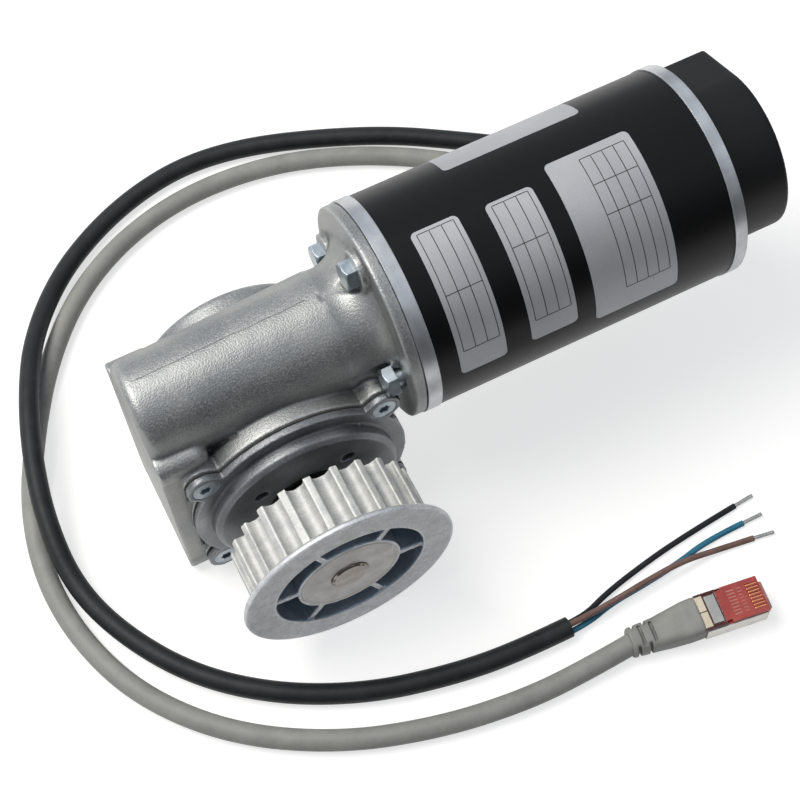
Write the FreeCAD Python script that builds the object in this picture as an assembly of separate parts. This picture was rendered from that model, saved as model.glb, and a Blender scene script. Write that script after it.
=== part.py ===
import FreeCAD, Part
import math
import os

Vector = FreeCAD.Vector

# A brushless worm gearmotor with an encoder, a belt pulley and two cables.
# X runs along the motor axis from the mounting face to the rear, the pulley looks along -Y, Z is up.
# The origin is the middle of the four mounting holes, on the mounting face and level with the output axis.
# "Out" below is a distance along -Y from the plane of the motor axis towards the pulley.

# Gears, which set the distance between the two axes
MODULE = 1.5
WORM_STARTS = 2
WORM_PITCH_DIAMETER = 18.0
WORM_LENGTH = 32.0
WHEEL_TEETH = 30
WHEEL_FACE = 13.0
PRESSURE_ANGLE = math.radians(20.0)
TOOTH_THINNING = 0.15

# Clearances
FIT = 0.03
SCREW_CLEARANCE = 0.15
RUNNING = 0.06
AIR_GAP = 0.6

# Gearbox housing along the motor axis
OUTPUT_X = 37.0
FLANGE_SPACE = 5.3
WORM_TUBE_FRONT_RADIUS = 15.6
WORM_TUBE_REAR_RADIUS = 17.7
FLARE_LENGTH = 12.0
FLARE_RADIUS = 23.5
FLANGE_THICKNESS = 3.6
END_WALL = 4.2
PILOT_RADIUS = 18.9
PILOT_DEPTH = 2.8

# Mounting plate
PLATE_THICKNESS = 5.6
PLATE_CORNER = 4.0
MOUNT_SPACING_Y = 32.0
MOUNT_SPACING_Z = 55.0
MOUNT_HOLE_RADIUS = 2.5
MOUNT_HOLE_DEPTH = 12.0
BOSS_RADIUS = 4.6
BOSS_LENGTH = 15.0
NECK_INSET_Y = 5.0
NECK_INSET_Z = 8.0

# Wheel chamber and output cover, measured out from the motor axis
CHAMBER_SPACE = 1.5
CHAMBER_BACK = -27.3
CHAMBER_WALL = 3.0
JOINT_OUT = 22.0
GASKET_THICKNESS = 0.5
RIM_RADIUS = 32.5
RIM_THICKNESS = 2.3
HOUSING_RIM_THICKNESS = 5.0
RIM_ROOT_LENGTH = 8.0
LUG_X = 26.8
LUG_Z = 22.0
LUG_RADIUS = 5.2
LUG_LENGTH = 8.5
LUG_LENGTH_AT_PLATE = 14.0
COVER_BOSS_RADIUS = 28.0
COVER_BOSS_HEIGHT = 4.4
COVER_CHAMFER = 1.2
COVER_HOLE_CIRCLE = 18.5
COVER_HOLE_RADIUS = 2.1
COVER_HOLE_DEPTH = 5.0

# Screws
COVER_SCREW_RADIUS = 2.0
COVER_SCREW_HEAD_RADIUS = 3.8
COVER_SCREW_LENGTH = 9.5
FLANGE_SCREW_RADIUS = 2.5
FLANGE_SCREW_CIRCLE = 22.5
FLANGE_SCREW_HEAD_ACROSS = 8.0
FLANGE_SCREW_HEAD_HEIGHT = 3.5
FLANGE_SCREW_REACH = 7.5
SCREW_BOSS_RADIUS = 6.3
SCREW_BOSS_HEIGHT = 2.0
POCKET_RADIUS = 5.2

# Bearings as bore radius, outer radius and width
OUTPUT_BEARING = (7.5, 16.0, 9.0)
WORM_BEARING = (5.0, 13.0, 8.0)
FRONT_BEARING = (6.0, 14.0, 8.0)
REAR_BEARING = (4.0, 11.0, 7.0)
RING_SHARE = 0.26
BEARING_SHIELD = 0.6

# Motor
TUBE_RADIUS = 31.5
TUBE_WALL = 1.5
TUBE_LENGTH = 91.4
RING_STEP = 0.3
FRONT_RING = 4.2
REAR_RING = 3.7
FRONT_SHIELD_DEPTH = 8.0
REAR_SHIELD_DEPTH = 7.0
STACK_LENGTH = 30.0
ROTOR_OVERHANG = 2.0
SLOT_DEPTH = 10.77
MAGNET_THICKNESS = 2.8
MAGNETS = 8
STATOR_TEETH = 12
TOOTH_WIDTH = 5.0
YOKE_THICKNESS = 3.4
COIL_THICKNESS = 2.0
SLOT_LINER = 0.25
INSULATOR = 1.0
SENSOR_BOARD_GAP = 1.0
BOARD_THICKNESS = 1.6

# Rear cap with the encoder
CAP_LENGTH = 18.3
CAP_RADIUS = 24.4
CAP_FLAT = 24.6
CAP_HALF_HEIGHT = 16.4
CAP_WALL = 2.0
CAP_SCREW_CIRCLE = 17.3
PILLAR_RADIUS = 2.6
ENCODER_DISC_RADIUS = 13.0
ENCODER_BOARD_RADIUS = 21.0
ENCODER_SHAFT_RADIUS = 3.0

# Belt pulley
PULLEY_TEETH = 22
PULLEY_PITCH = 8.0
PITCH_LINE_OFFSET = 0.685
GROOVE_RADIUS = 2.7
GROOVE_DEPTH = 3.45
TOOTH_TIP_ANGLE = 93.6
PULLEY_BACK = 36.0
BELT_WIDTH = 18.1
PULLEY_FLANGE_RADIUS = 31.75
PULLEY_FLANGE_THICKNESS = 2.2
PULLEY_INNER_RADIUS = 22.4
PULLEY_HUB_RADIUS = 15.7
PULLEY_HUB_START = 31.0
PULLEY_HUB_RECESS = 0.85
RIB_THICKNESS = 1.8
RIB_START_ANGLE = -7.0
RIBS = 6
SHAFT_END_RADIUS = 5.5
SHAFT_END_PROUD = 0.8

# Cables lying on the surface under the rim of the gearbox
POWER_DIAMETER = 6.2
SIGNAL_DIAMETER = 6.4
CORE_DIAMETER = 1.8
TIP_DIAMETER = 1.2
TIP_LENGTH = 6.3
POWER_OUTLET_Y = 17.7
SIGNAL_OUTLET_Y = 8.0
CABLE_DROP = 16.0
CORD_ARC_SHARE = 0.45

# Plug on the signal cable
PLUG_X = 102.0
PLUG_Y = -100.0
PLUG_ANGLE = -8.0
PLUG_CABLE_HEIGHT = 4.2
BOOT_TAIL_RADIUS = 4.15
BOOT_LENGTH = 21.0
BOOT_HEIGHT = 8.2
BOOT_SLOTS = 4
PLUG_BASE = 3.3
PLUG_WIDTH = 11.7
PLUG_HEIGHT = 6.6
PLUG_LENGTH = 20.8
PLUG_SHEET = 0.3
PLUG_SHEET_LENGTH = 14.0
CONTACT_PITCH = 1.02
CONTACT_LENGTH = 6.0

# Sizes that follow from the ones above
AXIS_Z = (WORM_PITCH_DIAMETER + MODULE * WHEEL_TEETH) / 2
FLOOR = -RIM_RADIUS
WORM_LEAD = math.pi * MODULE * WORM_STARTS
WHEEL_PITCH_RADIUS = MODULE * WHEEL_TEETH / 2
WHEEL_TIP_RADIUS = WHEEL_PITCH_RADIUS + MODULE
WHEEL_ROOT_RADIUS = WHEEL_PITCH_RADIUS - 1.25 * MODULE
WORM_TIP_RADIUS = WORM_PITCH_DIAMETER / 2 + MODULE
WORM_ROOT_RADIUS = WORM_PITCH_DIAMETER / 2 - 1.25 * MODULE
CHAMBER_RADIUS = WHEEL_TIP_RADIUS + CHAMBER_SPACE + CHAMBER_WALL
HOUSING_LENGTH = OUTPUT_X + CHAMBER_RADIUS + FLANGE_SPACE + FLANGE_THICKNESS
TUBE_START = HOUSING_LENGTH + FRONT_RING
TUBE_END = TUBE_START + TUBE_LENGTH
CAP_START = TUBE_END + REAR_RING
CAP_END = CAP_START + CAP_LENGTH
TUBE_BORE = TUBE_RADIUS - TUBE_WALL
RING_RADIUS = TUBE_RADIUS + RING_STEP
FLANGE_BACK = HOUSING_LENGTH - FLANGE_THICKNESS
SCREW_SEAT = FLANGE_BACK - SCREW_BOSS_HEIGHT
COVER_BACK = JOINT_OUT + GASKET_THICKNESS
COVER_RIM_FRONT = COVER_BACK + RIM_THICKNESS
COVER_FRONT = COVER_RIM_FRONT + COVER_BOSS_HEIGHT
BACK_BEARING_START = CHAMBER_BACK + CHAMBER_WALL
FRONT_BEARING_END = JOINT_OUT
WORM_START = OUTPUT_X - WORM_LENGTH / 2
WORM_END = OUTPUT_X + WORM_LENGTH / 2
WORM_BEARING_END = END_WALL + WORM_BEARING[2]
MOTOR_BEARING_START = TUBE_START - 0.2
MOTOR_BEARING_END = MOTOR_BEARING_START + FRONT_BEARING[2]
STACK_MIDDLE = TUBE_START + 0.43 * TUBE_LENGTH
STACK_START = STACK_MIDDLE - STACK_LENGTH / 2
STACK_END = STACK_MIDDLE + STACK_LENGTH / 2
YOKE_INNER = TUBE_BORE - FIT - YOKE_THICKNESS
STATOR_BORE = YOKE_INNER - SLOT_DEPTH
ROTOR_RADIUS = STATOR_BORE - AIR_GAP
COIL_HALF_LENGTH = STACK_LENGTH / 2 + INSULATOR + COIL_THICKNESS
SENSOR_BOARD_START = STACK_MIDDLE + COIL_HALF_LENGTH + SENSOR_BOARD_GAP
REAR_BEARING_END = TUBE_END + 0.4
REAR_BEARING_START = REAR_BEARING_END - REAR_BEARING[2]
PULLEY_TIP_RADIUS = PULLEY_TEETH * PULLEY_PITCH / (2 * math.pi) - PITCH_LINE_OFFSET
PULLEY_RIM_FRONT = PULLEY_BACK + BELT_WIDTH
PULLEY_FRONT = PULLEY_RIM_FRONT + PULLEY_FLANGE_THICKNESS
PULLEY_HUB_FRONT = PULLEY_FRONT - PULLEY_HUB_RECESS
SHAFT_FRONT = PULLEY_HUB_FRONT + SHAFT_END_PROUD
CAP_BOTTOM = AXIS_Z - CAP_RADIUS
OUTLET_X = (CAP_START + CAP_END) / 2 + 0.15

NODES = {}


def profile_face(points, place):
    """Closed face through (along, radius) points; four numbers give an arc through a middle point."""
    edges = []
    start = place(points[0][0], points[0][1])
    first = start
    for point in points[1:]:
        if len(point) == 4:
            end = place(point[2], point[3])
            edges.append(Part.Arc(start, place(point[0], point[1]), end).toShape())
        else:
            end = place(point[0], point[1])
            edges.append(Part.LineSegment(start, end).toShape())
        start = end
    edges.append(Part.LineSegment(start, first).toShape())
    return Part.Face(Part.Wire(edges))


def turned_on_motor(points, angle=360.0):
    """Solid of revolution about the motor axis from (x, radius) points."""
    face = profile_face(points, lambda x, r: Vector(x, 0, AXIS_Z + r))
    return face.revolve(Vector(0, 0, AXIS_Z), Vector(1, 0, 0), angle)


def turned_on_output(points):
    """Solid of revolution about the output axis from (out, radius) points."""
    face = profile_face(points, lambda out, r: Vector(OUTPUT_X, -out, r))
    return face.revolve(Vector(OUTPUT_X, 0, 0), Vector(0, 1, 0), 360.0)


def rod_x(radius, start, end, y=0.0, z=AXIS_Z):
    """Cylinder along X."""
    return Part.makeCylinder(radius, end - start, Vector(start, y, z), Vector(1, 0, 0))


def rod_out(radius, start, end, x=0.0, z=0.0):
    """Cylinder along the output axis, with x and z measured from that axis."""
    return Part.makeCylinder(radius, end - start, Vector(OUTPUT_X + x, -start, z), Vector(0, -1, 0))


def box(x0, x1, y0, y1, z0, z1):
    """Box between two corners."""
    return Part.makeBox(x1 - x0, y1 - y0, z1 - z0, Vector(x0, y0, z0))


def around_motor(shape, angle):
    """Copy turned about the motor axis."""
    copy = shape.copy()
    copy.rotate(Vector(0, 0, AXIS_Z), Vector(1, 0, 0), angle)
    return copy


def around_output(shape, angle):
    """Copy turned about the output axis, from +X towards +Z."""
    copy = shape.copy()
    copy.rotate(Vector(OUTPUT_X, 0, 0), Vector(0, -1, 0), angle)
    return copy


def united(shapes):
    """One solid from overlapping ones, joined one after another."""
    solid = shapes[0]
    for shape in shapes[1:]:
        solid = solid.fuse(shape)
    return solid.removeSplitter()


def group(shapes):
    """Several loose solids as one shape."""
    return Part.makeCompound(shapes)


def lug_places():
    """Middle of each cover lug, from the output axis."""
    return [(side * LUG_X, level * LUG_Z) for side in (-1, 1) for level in (-1, 1)]


def rim_with_lugs(start, end):
    """Round rim with four straight sided lugs."""
    pieces = [rod_out(RIM_RADIUS, start, end)]
    for x, z in lug_places():
        reach = math.hypot(x, z)
        pieces.append(rod_out(LUG_RADIUS, start, end, x, z))
        web = box(OUTPUT_X, OUTPUT_X + reach, -end, -start, -LUG_RADIUS, LUG_RADIUS)
        pieces.append(around_output(web, math.degrees(math.atan2(z, x))))
    return united(pieces)


def mount_places():
    """Middle of each mounting hole as y and z."""
    return [(side * MOUNT_SPACING_Y / 2, level * MOUNT_SPACING_Z / 2)
            for side in (-1, 1) for level in (-1, 1)]


def rounded_face(place, width, height, corner):
    """Rectangle with rounded corners about the middle of a plane given by place(u, v)."""
    u = width / 2
    v = height / 2
    c = corner
    k = corner * (1 - math.sqrt(0.5))
    corners = [((u, v - c), (u - k, v - k), (u - c, v)), ((-u + c, v), (-u + k, v - k), (-u, v - c)),
               ((-u, -v + c), (-u + k, -v + k), (-u + c, -v)), ((u - c, -v), (u - k, -v + k), (u, -v + c))]
    edges = []
    for index, (first, middle, last) in enumerate(corners):
        edges.append(Part.Arc(place(*first), place(*middle), place(*last)).toShape())
        following = corners[(index + 1) % 4][0]
        edges.append(Part.LineSegment(place(*last), place(*following)).toShape())
    return Part.Face(Part.Wire(edges))


def flange_screw_places():
    """Middle of each flange screw as y and z."""
    return [(FLANGE_SCREW_CIRCLE * math.sin(math.radians(angle)),
             AXIS_Z + FLANGE_SCREW_CIRCLE * math.cos(math.radians(angle))) for angle in (0, 90, 180, 270)]


def bearing(sizes, start, turned):
    """Outer ring with its two shields, and inner ring, of a shielded ball bearing."""
    bore, outer, width = sizes
    wall = RING_SHARE * (outer - bore)
    end = start + width
    track = outer - wall
    lip = bore + wall + 0.15
    ring = turned([(start, outer - FIT), (end, outer - FIT), (end, lip), (end - BEARING_SHIELD, lip),
                   (end - BEARING_SHIELD, track), (start + BEARING_SHIELD, track),
                   (start + BEARING_SHIELD, lip), (start, lip)])
    inner = turned([(start, bore + FIT), (end, bore + FIT), (end, bore + wall), (start, bore + wall)])
    return ring, inner


def hexagon_x(across, start, end, y, z):
    """Hexagonal prism along X."""
    corner = across / math.sqrt(3)
    points = [Vector(start, y + corner * math.cos(math.radians(60 * k)), z + corner * math.sin(math.radians(60 * k)))
              for k in range(7)]
    return Part.Face(Part.makePolygon(points)).extrude(Vector(end - start, 0, 0))


def make_housing():
    """Die cast gearbox housing."""
    k = 3.0 * (1 - math.sqrt(0.5))
    front = WORM_TUBE_FRONT_RADIUS
    rear = WORM_TUBE_REAR_RADIUS
    flare = FLANGE_BACK - FLARE_LENGTH
    tube = turned_on_motor([(0, 0), (0, front - 3.0), (k, front - k, 3.0, front), (flare, rear),
                            (flare + 0.72 * FLARE_LENGTH, rear + 0.28 * (FLARE_RADIUS - rear), FLANGE_BACK, FLARE_RADIUS),
                            (FLANGE_BACK, TUBE_RADIUS), (HOUSING_LENGTH, TUBE_RADIUS), (HOUSING_LENGTH, 0)])
    # a boss under each screw head with room for the head, and a flat beside the cover
    bosses = [rod_x(SCREW_BOSS_RADIUS, SCREW_SEAT, FLANGE_BACK, y, z) for y, z in flange_screw_places()]
    tube = united([tube] + bosses)
    for y, z in flange_screw_places():
        tube = tube.cut(rod_x(POCKET_RADIUS, flare - 1, SCREW_SEAT, y, z))
    tube = tube.cut(box(flare - 1, FLANGE_BACK, -TUBE_RADIUS, 1.0 - JOINT_OUT, 0, AXIS_Z + TUBE_RADIUS))
    round_back = 2.5
    k = round_back * (1 - math.sqrt(0.5))
    chamber = turned_on_output([(CHAMBER_BACK, 0), (CHAMBER_BACK, CHAMBER_RADIUS - round_back),
                                (CHAMBER_BACK + k, CHAMBER_RADIUS - k, CHAMBER_BACK + round_back, CHAMBER_RADIUS),
                                (JOINT_OUT, CHAMBER_RADIUS), (JOINT_OUT, 0)])
    rim_back = JOINT_OUT - HOUSING_RIM_THICKNESS
    rim = rim_with_lugs(rim_back, JOINT_OUT)
    root = turned_on_output([(rim_back - RIM_ROOT_LENGTH, 0), (rim_back - RIM_ROOT_LENGTH, CHAMBER_RADIUS - 0.5),
                             (rim_back, RIM_RADIUS - 0.5), (rim_back, 0)])
    width = MOUNT_SPACING_Y + 2 * PLATE_CORNER
    height = MOUNT_SPACING_Z + 2 * PLATE_CORNER
    plate = rounded_face(lambda u, v: Vector(0, u, v), width, height, PLATE_CORNER)
    plate = plate.extrude(Vector(PLATE_THICKNESS, 0, 0))
    neck = rounded_face(lambda u, v: Vector(0, u, v), width - 2 * NECK_INSET_Y, height - 2 * NECK_INSET_Z,
                        PLATE_CORNER)
    neck = neck.extrude(Vector(OUTPUT_X - CHAMBER_RADIUS * 0.7, 0, 0))
    pieces = [tube, chamber, rim, root, plate, neck]
    for y, z in mount_places():
        pieces.append(rod_x(BOSS_RADIUS, 0, BOSS_LENGTH - BOSS_RADIUS, y, z))
        pieces.append(Part.makeSphere(BOSS_RADIUS, Vector(BOSS_LENGTH - BOSS_RADIUS, y, z)))
    for x, z in lug_places():
        length = LUG_LENGTH_AT_PLATE if x < 0 < z else LUG_LENGTH
        pieces.append(rod_out(LUG_RADIUS, JOINT_OUT - length, JOINT_OUT, x, z))
    solid = united(pieces)
    cuts = [turned_on_motor([(END_WALL, 0), (END_WALL, WORM_BEARING[1]),
                             (HOUSING_LENGTH - PILOT_DEPTH - 0.2, WORM_BEARING[1]),
                             (HOUSING_LENGTH - PILOT_DEPTH - 0.2, PILOT_RADIUS + FIT),
                             (HOUSING_LENGTH, PILOT_RADIUS + FIT), (HOUSING_LENGTH, 0)]),
            turned_on_output([(BACK_BEARING_START, 0), (BACK_BEARING_START, OUTPUT_BEARING[1]),
                              (BACK_BEARING_START + OUTPUT_BEARING[2], OUTPUT_BEARING[1]),
                              (BACK_BEARING_START + OUTPUT_BEARING[2], CHAMBER_RADIUS - CHAMBER_WALL),
                              (JOINT_OUT, CHAMBER_RADIUS - CHAMBER_WALL), (JOINT_OUT, 0)])]
    for y, z in mount_places():
        cuts.append(rod_x(MOUNT_HOLE_RADIUS, 0, MOUNT_HOLE_DEPTH, y, z))
    for y, z in flange_screw_places():
        cuts.append(rod_x(FLANGE_SCREW_RADIUS + SCREW_CLEARANCE, SCREW_SEAT - 1, HOUSING_LENGTH, y, z))
    for x, z in lug_places():
        depth = COVER_SCREW_LENGTH - RIM_THICKNESS - GASKET_THICKNESS + 0.5
        cuts.append(rod_out(COVER_SCREW_RADIUS + FIT, JOINT_OUT - depth, JOINT_OUT, x, z))
    for cut in cuts:
        solid = solid.cut(cut)
    return solid.removeSplitter()


def make_cover():
    """Output cover with the front bearing seat, the seal seat and the round boss."""
    spigot = FRONT_BEARING_END - OUTPUT_BEARING[2] - 0.2
    seal = SEAL_START
    body = turned_on_output([(spigot, OUTPUT_BEARING[1]), (FRONT_BEARING_END, OUTPUT_BEARING[1]),
                             (FRONT_BEARING_END, OUTPUT_BEARING[0] + 3.0), (seal, OUTPUT_BEARING[0] + 3.0),
                             (seal, SEAL_RADIUS), (COVER_FRONT, SEAL_RADIUS),
                             (COVER_FRONT, COVER_BOSS_RADIUS - COVER_CHAMFER),
                             (COVER_FRONT - COVER_CHAMFER, COVER_BOSS_RADIUS),
                             (COVER_RIM_FRONT, COVER_BOSS_RADIUS), (COVER_RIM_FRONT, RIM_RADIUS - 1),
                             (COVER_BACK, RIM_RADIUS - 1), (COVER_BACK, CHAMBER_RADIUS - CHAMBER_WALL - FIT),
                             (spigot, CHAMBER_RADIUS - CHAMBER_WALL - FIT)])
    rim = rim_with_lugs(COVER_BACK, COVER_RIM_FRONT).cut(rod_out(RIM_RADIUS - 2, COVER_BACK, COVER_RIM_FRONT))
    solid = united([body, rim])
    for x, z in lug_places():
        solid = solid.cut(rod_out(COVER_SCREW_RADIUS + SCREW_CLEARANCE, COVER_BACK, COVER_RIM_FRONT, x, z))
        sink = COVER_SCREW_HEAD_RADIUS - COVER_SCREW_RADIUS
        place = Vector(OUTPUT_X + x, -(COVER_RIM_FRONT - sink), z)
        solid = solid.cut(Part.makeCone(COVER_SCREW_RADIUS + FIT, COVER_SCREW_HEAD_RADIUS + FIT, sink, place,
                                        Vector(0, -1, 0)))
    for turn in range(4):
        angle = math.radians(45 + 90 * turn)
        solid = solid.cut(rod_out(COVER_HOLE_RADIUS, COVER_FRONT - COVER_HOLE_DEPTH, COVER_FRONT,
                                  COVER_HOLE_CIRCLE * math.cos(angle), COVER_HOLE_CIRCLE * math.sin(angle)))
    return solid


def make_gasket():
    """Flat gasket between housing and cover."""
    solid = rim_with_lugs(JOINT_OUT, COVER_BACK).cut(rod_out(CHAMBER_RADIUS - CHAMBER_WALL, JOINT_OUT, COVER_BACK))
    for x, z in lug_places():
        solid = solid.cut(rod_out(COVER_SCREW_RADIUS + SCREW_CLEARANCE, JOINT_OUT, COVER_BACK, x, z))
    return solid


def make_cover_screws():
    """Countersunk screws with a six point socket."""
    sink = COVER_SCREW_HEAD_RADIUS - COVER_SCREW_RADIUS
    screws = []
    for x, z in lug_places():
        front = COVER_RIM_FRONT
        shank = rod_out(COVER_SCREW_RADIUS, front - COVER_SCREW_LENGTH, front - sink, x, z)
        place = Vector(OUTPUT_X + x, -(front - sink), z)
        head = Part.makeCone(COVER_SCREW_RADIUS, COVER_SCREW_HEAD_RADIUS, sink, place, Vector(0, -1, 0))
        socket = rod_out(1.5, front - 1.3, front, x, z)
        screws.append(united([shank, head]).cut(socket))
    return group(screws)


def make_flange_screws():
    """Hexagon head screws with a round top edge that hold the motor to the gearbox."""
    corner = FLANGE_SCREW_HEAD_ACROSS / math.sqrt(3)
    flat = FLANGE_SCREW_HEAD_ACROSS / 2
    screws = []
    for y, z in flange_screw_places():
        top = SCREW_SEAT - FLANGE_SCREW_HEAD_HEIGHT
        head = hexagon_x(FLANGE_SCREW_HEAD_ACROSS, top, SCREW_SEAT, y, z)
        cone = Part.makeCone(flat * 0.95, corner + flat, corner + flat * 0.05, Vector(top, y, z), Vector(1, 0, 0))
        shank = rod_x(FLANGE_SCREW_RADIUS, SCREW_SEAT, HOUSING_LENGTH + FLANGE_SCREW_REACH, y, z)
        screws.append(united([head.common(cone), shank]))
    return group(screws)


def make_front_shield():
    """Front end shield with pilot, visible ring, tube spigot and bearing seat."""
    end = TUBE_START + FRONT_SHIELD_DEPTH
    pilot = HOUSING_LENGTH - PILOT_DEPTH
    solid = turned_on_motor([(pilot, PILOT_RADIUS), (HOUSING_LENGTH, PILOT_RADIUS), (HOUSING_LENGTH, RING_RADIUS),
                             (TUBE_START, RING_RADIUS), (TUBE_START, TUBE_BORE - FIT), (end, TUBE_BORE - FIT),
                             (end, FRONT_BEARING[1]), (MOTOR_BEARING_START, FRONT_BEARING[1]),
                             (MOTOR_BEARING_START, FRONT_BEARING[0] + 2.0), (pilot, FRONT_BEARING[0] + 2.0)])
    for y, z in flange_screw_places():
        solid = solid.cut(rod_x(FLANGE_SCREW_RADIUS + FIT, HOUSING_LENGTH, HOUSING_LENGTH + FLANGE_SCREW_REACH + 0.5,
                                y, z))
    return solid


def make_rear_shield():
    """Rear end shield with visible ring, tube spigot, bearing seat and a window for the leads."""
    start = TUBE_END - REAR_SHIELD_DEPTH
    seat = REAR_BEARING[1]
    solid = turned_on_motor([(start, TUBE_BORE - FIT), (TUBE_END, TUBE_BORE - FIT), (TUBE_END, RING_RADIUS),
                             (CAP_START, RING_RADIUS), (CAP_START, REAR_BEARING[0] + 1.0),
                             (REAR_BEARING_END + PRELOAD, REAR_BEARING[0] + 1.0), (REAR_BEARING_END + PRELOAD, seat),
                             (start, seat), (start, seat + 3.0), (start + 4.0, seat + 3.0),
                             (start + 4.0, TUBE_BORE - 4.0), (start, TUBE_BORE - 4.0)])
    window = rod_x(3.0, start, CAP_START, 14.5, AXIS_Z - 9.0)
    solid = solid.cut(window)
    for y, z in cap_screw_places():
        solid = solid.cut(rod_x(1.5 + FIT, CAP_START - 5.0, CAP_START, y, z))
    return solid


def cap_face(x, inset):
    """Outline of the cap on the plane at x: round, with a flat side and a flat bottom for the cables."""
    radius = CAP_RADIUS - inset
    flat = CAP_FLAT - inset
    half = CAP_HALF_HEIGHT - inset
    # the sloping side runs from the upper corner to where it touches the circle
    reach = math.hypot(flat, half)
    turn = math.atan2(half, flat) + math.acos(radius / reach)
    upper = Vector(x, radius * math.cos(turn), AXIS_Z + radius * math.sin(turn))
    bottom = Vector(x, 0, AXIS_Z - radius)
    upper_corner = Vector(x, flat, AXIS_Z + half)
    lower_corner = Vector(x, flat, AXIS_Z - radius)
    edges = [Part.Arc(upper, Vector(x, -radius, AXIS_Z), bottom).toShape(),
             Part.LineSegment(bottom, lower_corner).toShape(),
             Part.LineSegment(lower_corner, upper_corner).toShape(),
             Part.LineSegment(upper_corner, upper).toShape()]
    return Part.Face(Part.Wire(edges))


def cap_screw_places():
    """Middle of each cap screw as y and z."""
    return [(CAP_SCREW_CIRCLE * math.cos(math.radians(angle)), AXIS_Z + CAP_SCREW_CIRCLE * math.sin(math.radians(angle)))
            for angle in (0, 120, 240)]


def make_cap():
    """Rear cap with inner pillars and two cable outlets."""
    solid = cap_face(CAP_START, 0.0).extrude(Vector(CAP_LENGTH, 0, 0))
    rear = [edge for edge in solid.Edges if edge.BoundBox.XMin > CAP_END - 0.01]
    solid = solid.makeFillet(0.8, rear)
    solid = solid.cut(cap_face(CAP_START, CAP_WALL).extrude(Vector(CAP_LENGTH - CAP_WALL, 0, 0)))
    pillars = [rod_x(PILLAR_RADIUS, CAP_START, CAP_END - CAP_WALL + 0.5, y, z) for y, z in cap_screw_places()]
    solid = united([solid] + pillars)
    for y, z in cap_screw_places():
        solid = solid.cut(rod_x(1.5 + SCREW_CLEARANCE, CAP_START, CAP_END, y, z))
        solid = solid.cut(rod_x(2.9, CAP_END - 1.2, CAP_END, y, z))
    for y in (POWER_OUTLET_Y, SIGNAL_OUTLET_Y):
        place = Vector(OUTLET_X, y, CAP_BOTTOM)
        solid = solid.cut(Part.makeCylinder(GROMMET_NECK + FIT, CAP_WALL, place, Vector(0, 0, 1)))
    return solid


def make_cap_screws():
    """Three pan head screws through the cap into the rear shield."""
    screws = []
    for y, z in cap_screw_places():
        head = rod_x(2.75, CAP_END - 1.2, CAP_END + 0.6, y, z)
        shank = rod_x(1.5, CAP_START - 4.5, CAP_END - 1.2, y, z)
        slot = box(CAP_END - 0.4, CAP_END + 0.6, y - 1.7, y + 1.7, z - 0.35, z + 0.35)
        cross = box(CAP_END - 0.4, CAP_END + 0.6, y - 0.35, y + 0.35, z - 1.7, z + 1.7)
        screws.append(united([head, shank]).cut(slot).cut(cross))
    return group(screws)


def make_grommet(y, cable_radius):
    """Rubber grommet with a short tapered sleeve, turned about the cable."""
    bore = cable_radius + FIT
    inner = CAP_BOTTOM + CAP_WALL
    points = [(inner + 1.2, bore), (inner + 1.2, GROMMET_FLANGE), (inner, GROMMET_FLANGE), (inner, GROMMET_NECK),
              (CAP_BOTTOM, GROMMET_NECK), (CAP_BOTTOM, GROMMET_FLANGE), (CAP_BOTTOM - 1.6, GROMMET_FLANGE),
              (CAP_BOTTOM - 1.6, GROMMET_NECK), (CAP_BOTTOM - GROMMET_SLEEVE, bore + 0.7),
              (CAP_BOTTOM - GROMMET_SLEEVE, bore)]
    face = profile_face(points, lambda z, r: Vector(OUTLET_X + r, y, z))
    return face.revolve(Vector(OUTLET_X, y, 0), Vector(0, 0, 1), 360.0)


def tooth_bars(width, start, end):
    """Twelve radial bars of the stator between two x positions."""
    bar = box(start, end, -width / 2, width / 2, AXIS_Z + STATOR_BORE - 1, AXIS_Z + YOKE_INNER + 1)
    shoe = box(start, end, -width / 2 - 1.2, width / 2 + 1.2, AXIS_Z + STATOR_BORE - 1, AXIS_Z + STATOR_BORE + 1.6)
    tooth = united([bar, shoe])
    return [around_motor(tooth, 360.0 * k / STATOR_TEETH) for k in range(STATOR_TEETH)]


def stator_plate(width, outer, start, end):
    """Yoke ring with inward teeth."""
    ring = turned_on_motor([(start, YOKE_INNER), (end, YOKE_INNER), (end, outer), (start, outer)])
    return united([ring] + tooth_bars(width, start, end)).cut(rod_x(STATOR_BORE, start, end))


def make_coils():
    """One wound coil round each stator tooth."""
    hole = TOOTH_WIDTH / 2 + SLOT_LINER
    outer = hole + COIL_THICKNESS
    low = AXIS_Z + STATOR_BORE + 3.4
    high = AXIS_Z + math.sqrt(YOKE_INNER ** 2 - outer ** 2) - 0.2
    inner_half = STACK_LENGTH / 2 + INSULATOR
    coil = box(STACK_MIDDLE - COIL_HALF_LENGTH, STACK_MIDDLE + COIL_HALF_LENGTH, -outer, outer, low, high)
    coil = coil.cut(box(STACK_MIDDLE - inner_half, STACK_MIDDLE + inner_half, -hole, hole, low, high))
    ends = [edge for edge in coil.Edges if abs(abs(edge.BoundBox.Center.y) - outer) < 0.01
            and abs(abs(edge.BoundBox.Center.x - STACK_MIDDLE) - COIL_HALF_LENGTH) < 0.01]
    coil = coil.makeFillet(1.6, ends)
    return group([around_motor(coil, 360.0 * k / STATOR_TEETH) for k in range(STATOR_TEETH)])


def make_magnets():
    """Arc magnets on the rotor core."""
    start = STACK_START - ROTOR_OVERHANG
    end = STACK_END + ROTOR_OVERHANG
    inner = ROTOR_RADIUS - MAGNET_THICKNESS
    magnet = turned_on_motor([(start, inner), (end, inner), (end, ROTOR_RADIUS), (start, ROTOR_RADIUS)],
                             360.0 / MAGNETS - 3.0)
    return group([around_motor(magnet, 360.0 * k / MAGNETS) for k in range(MAGNETS)])


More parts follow.
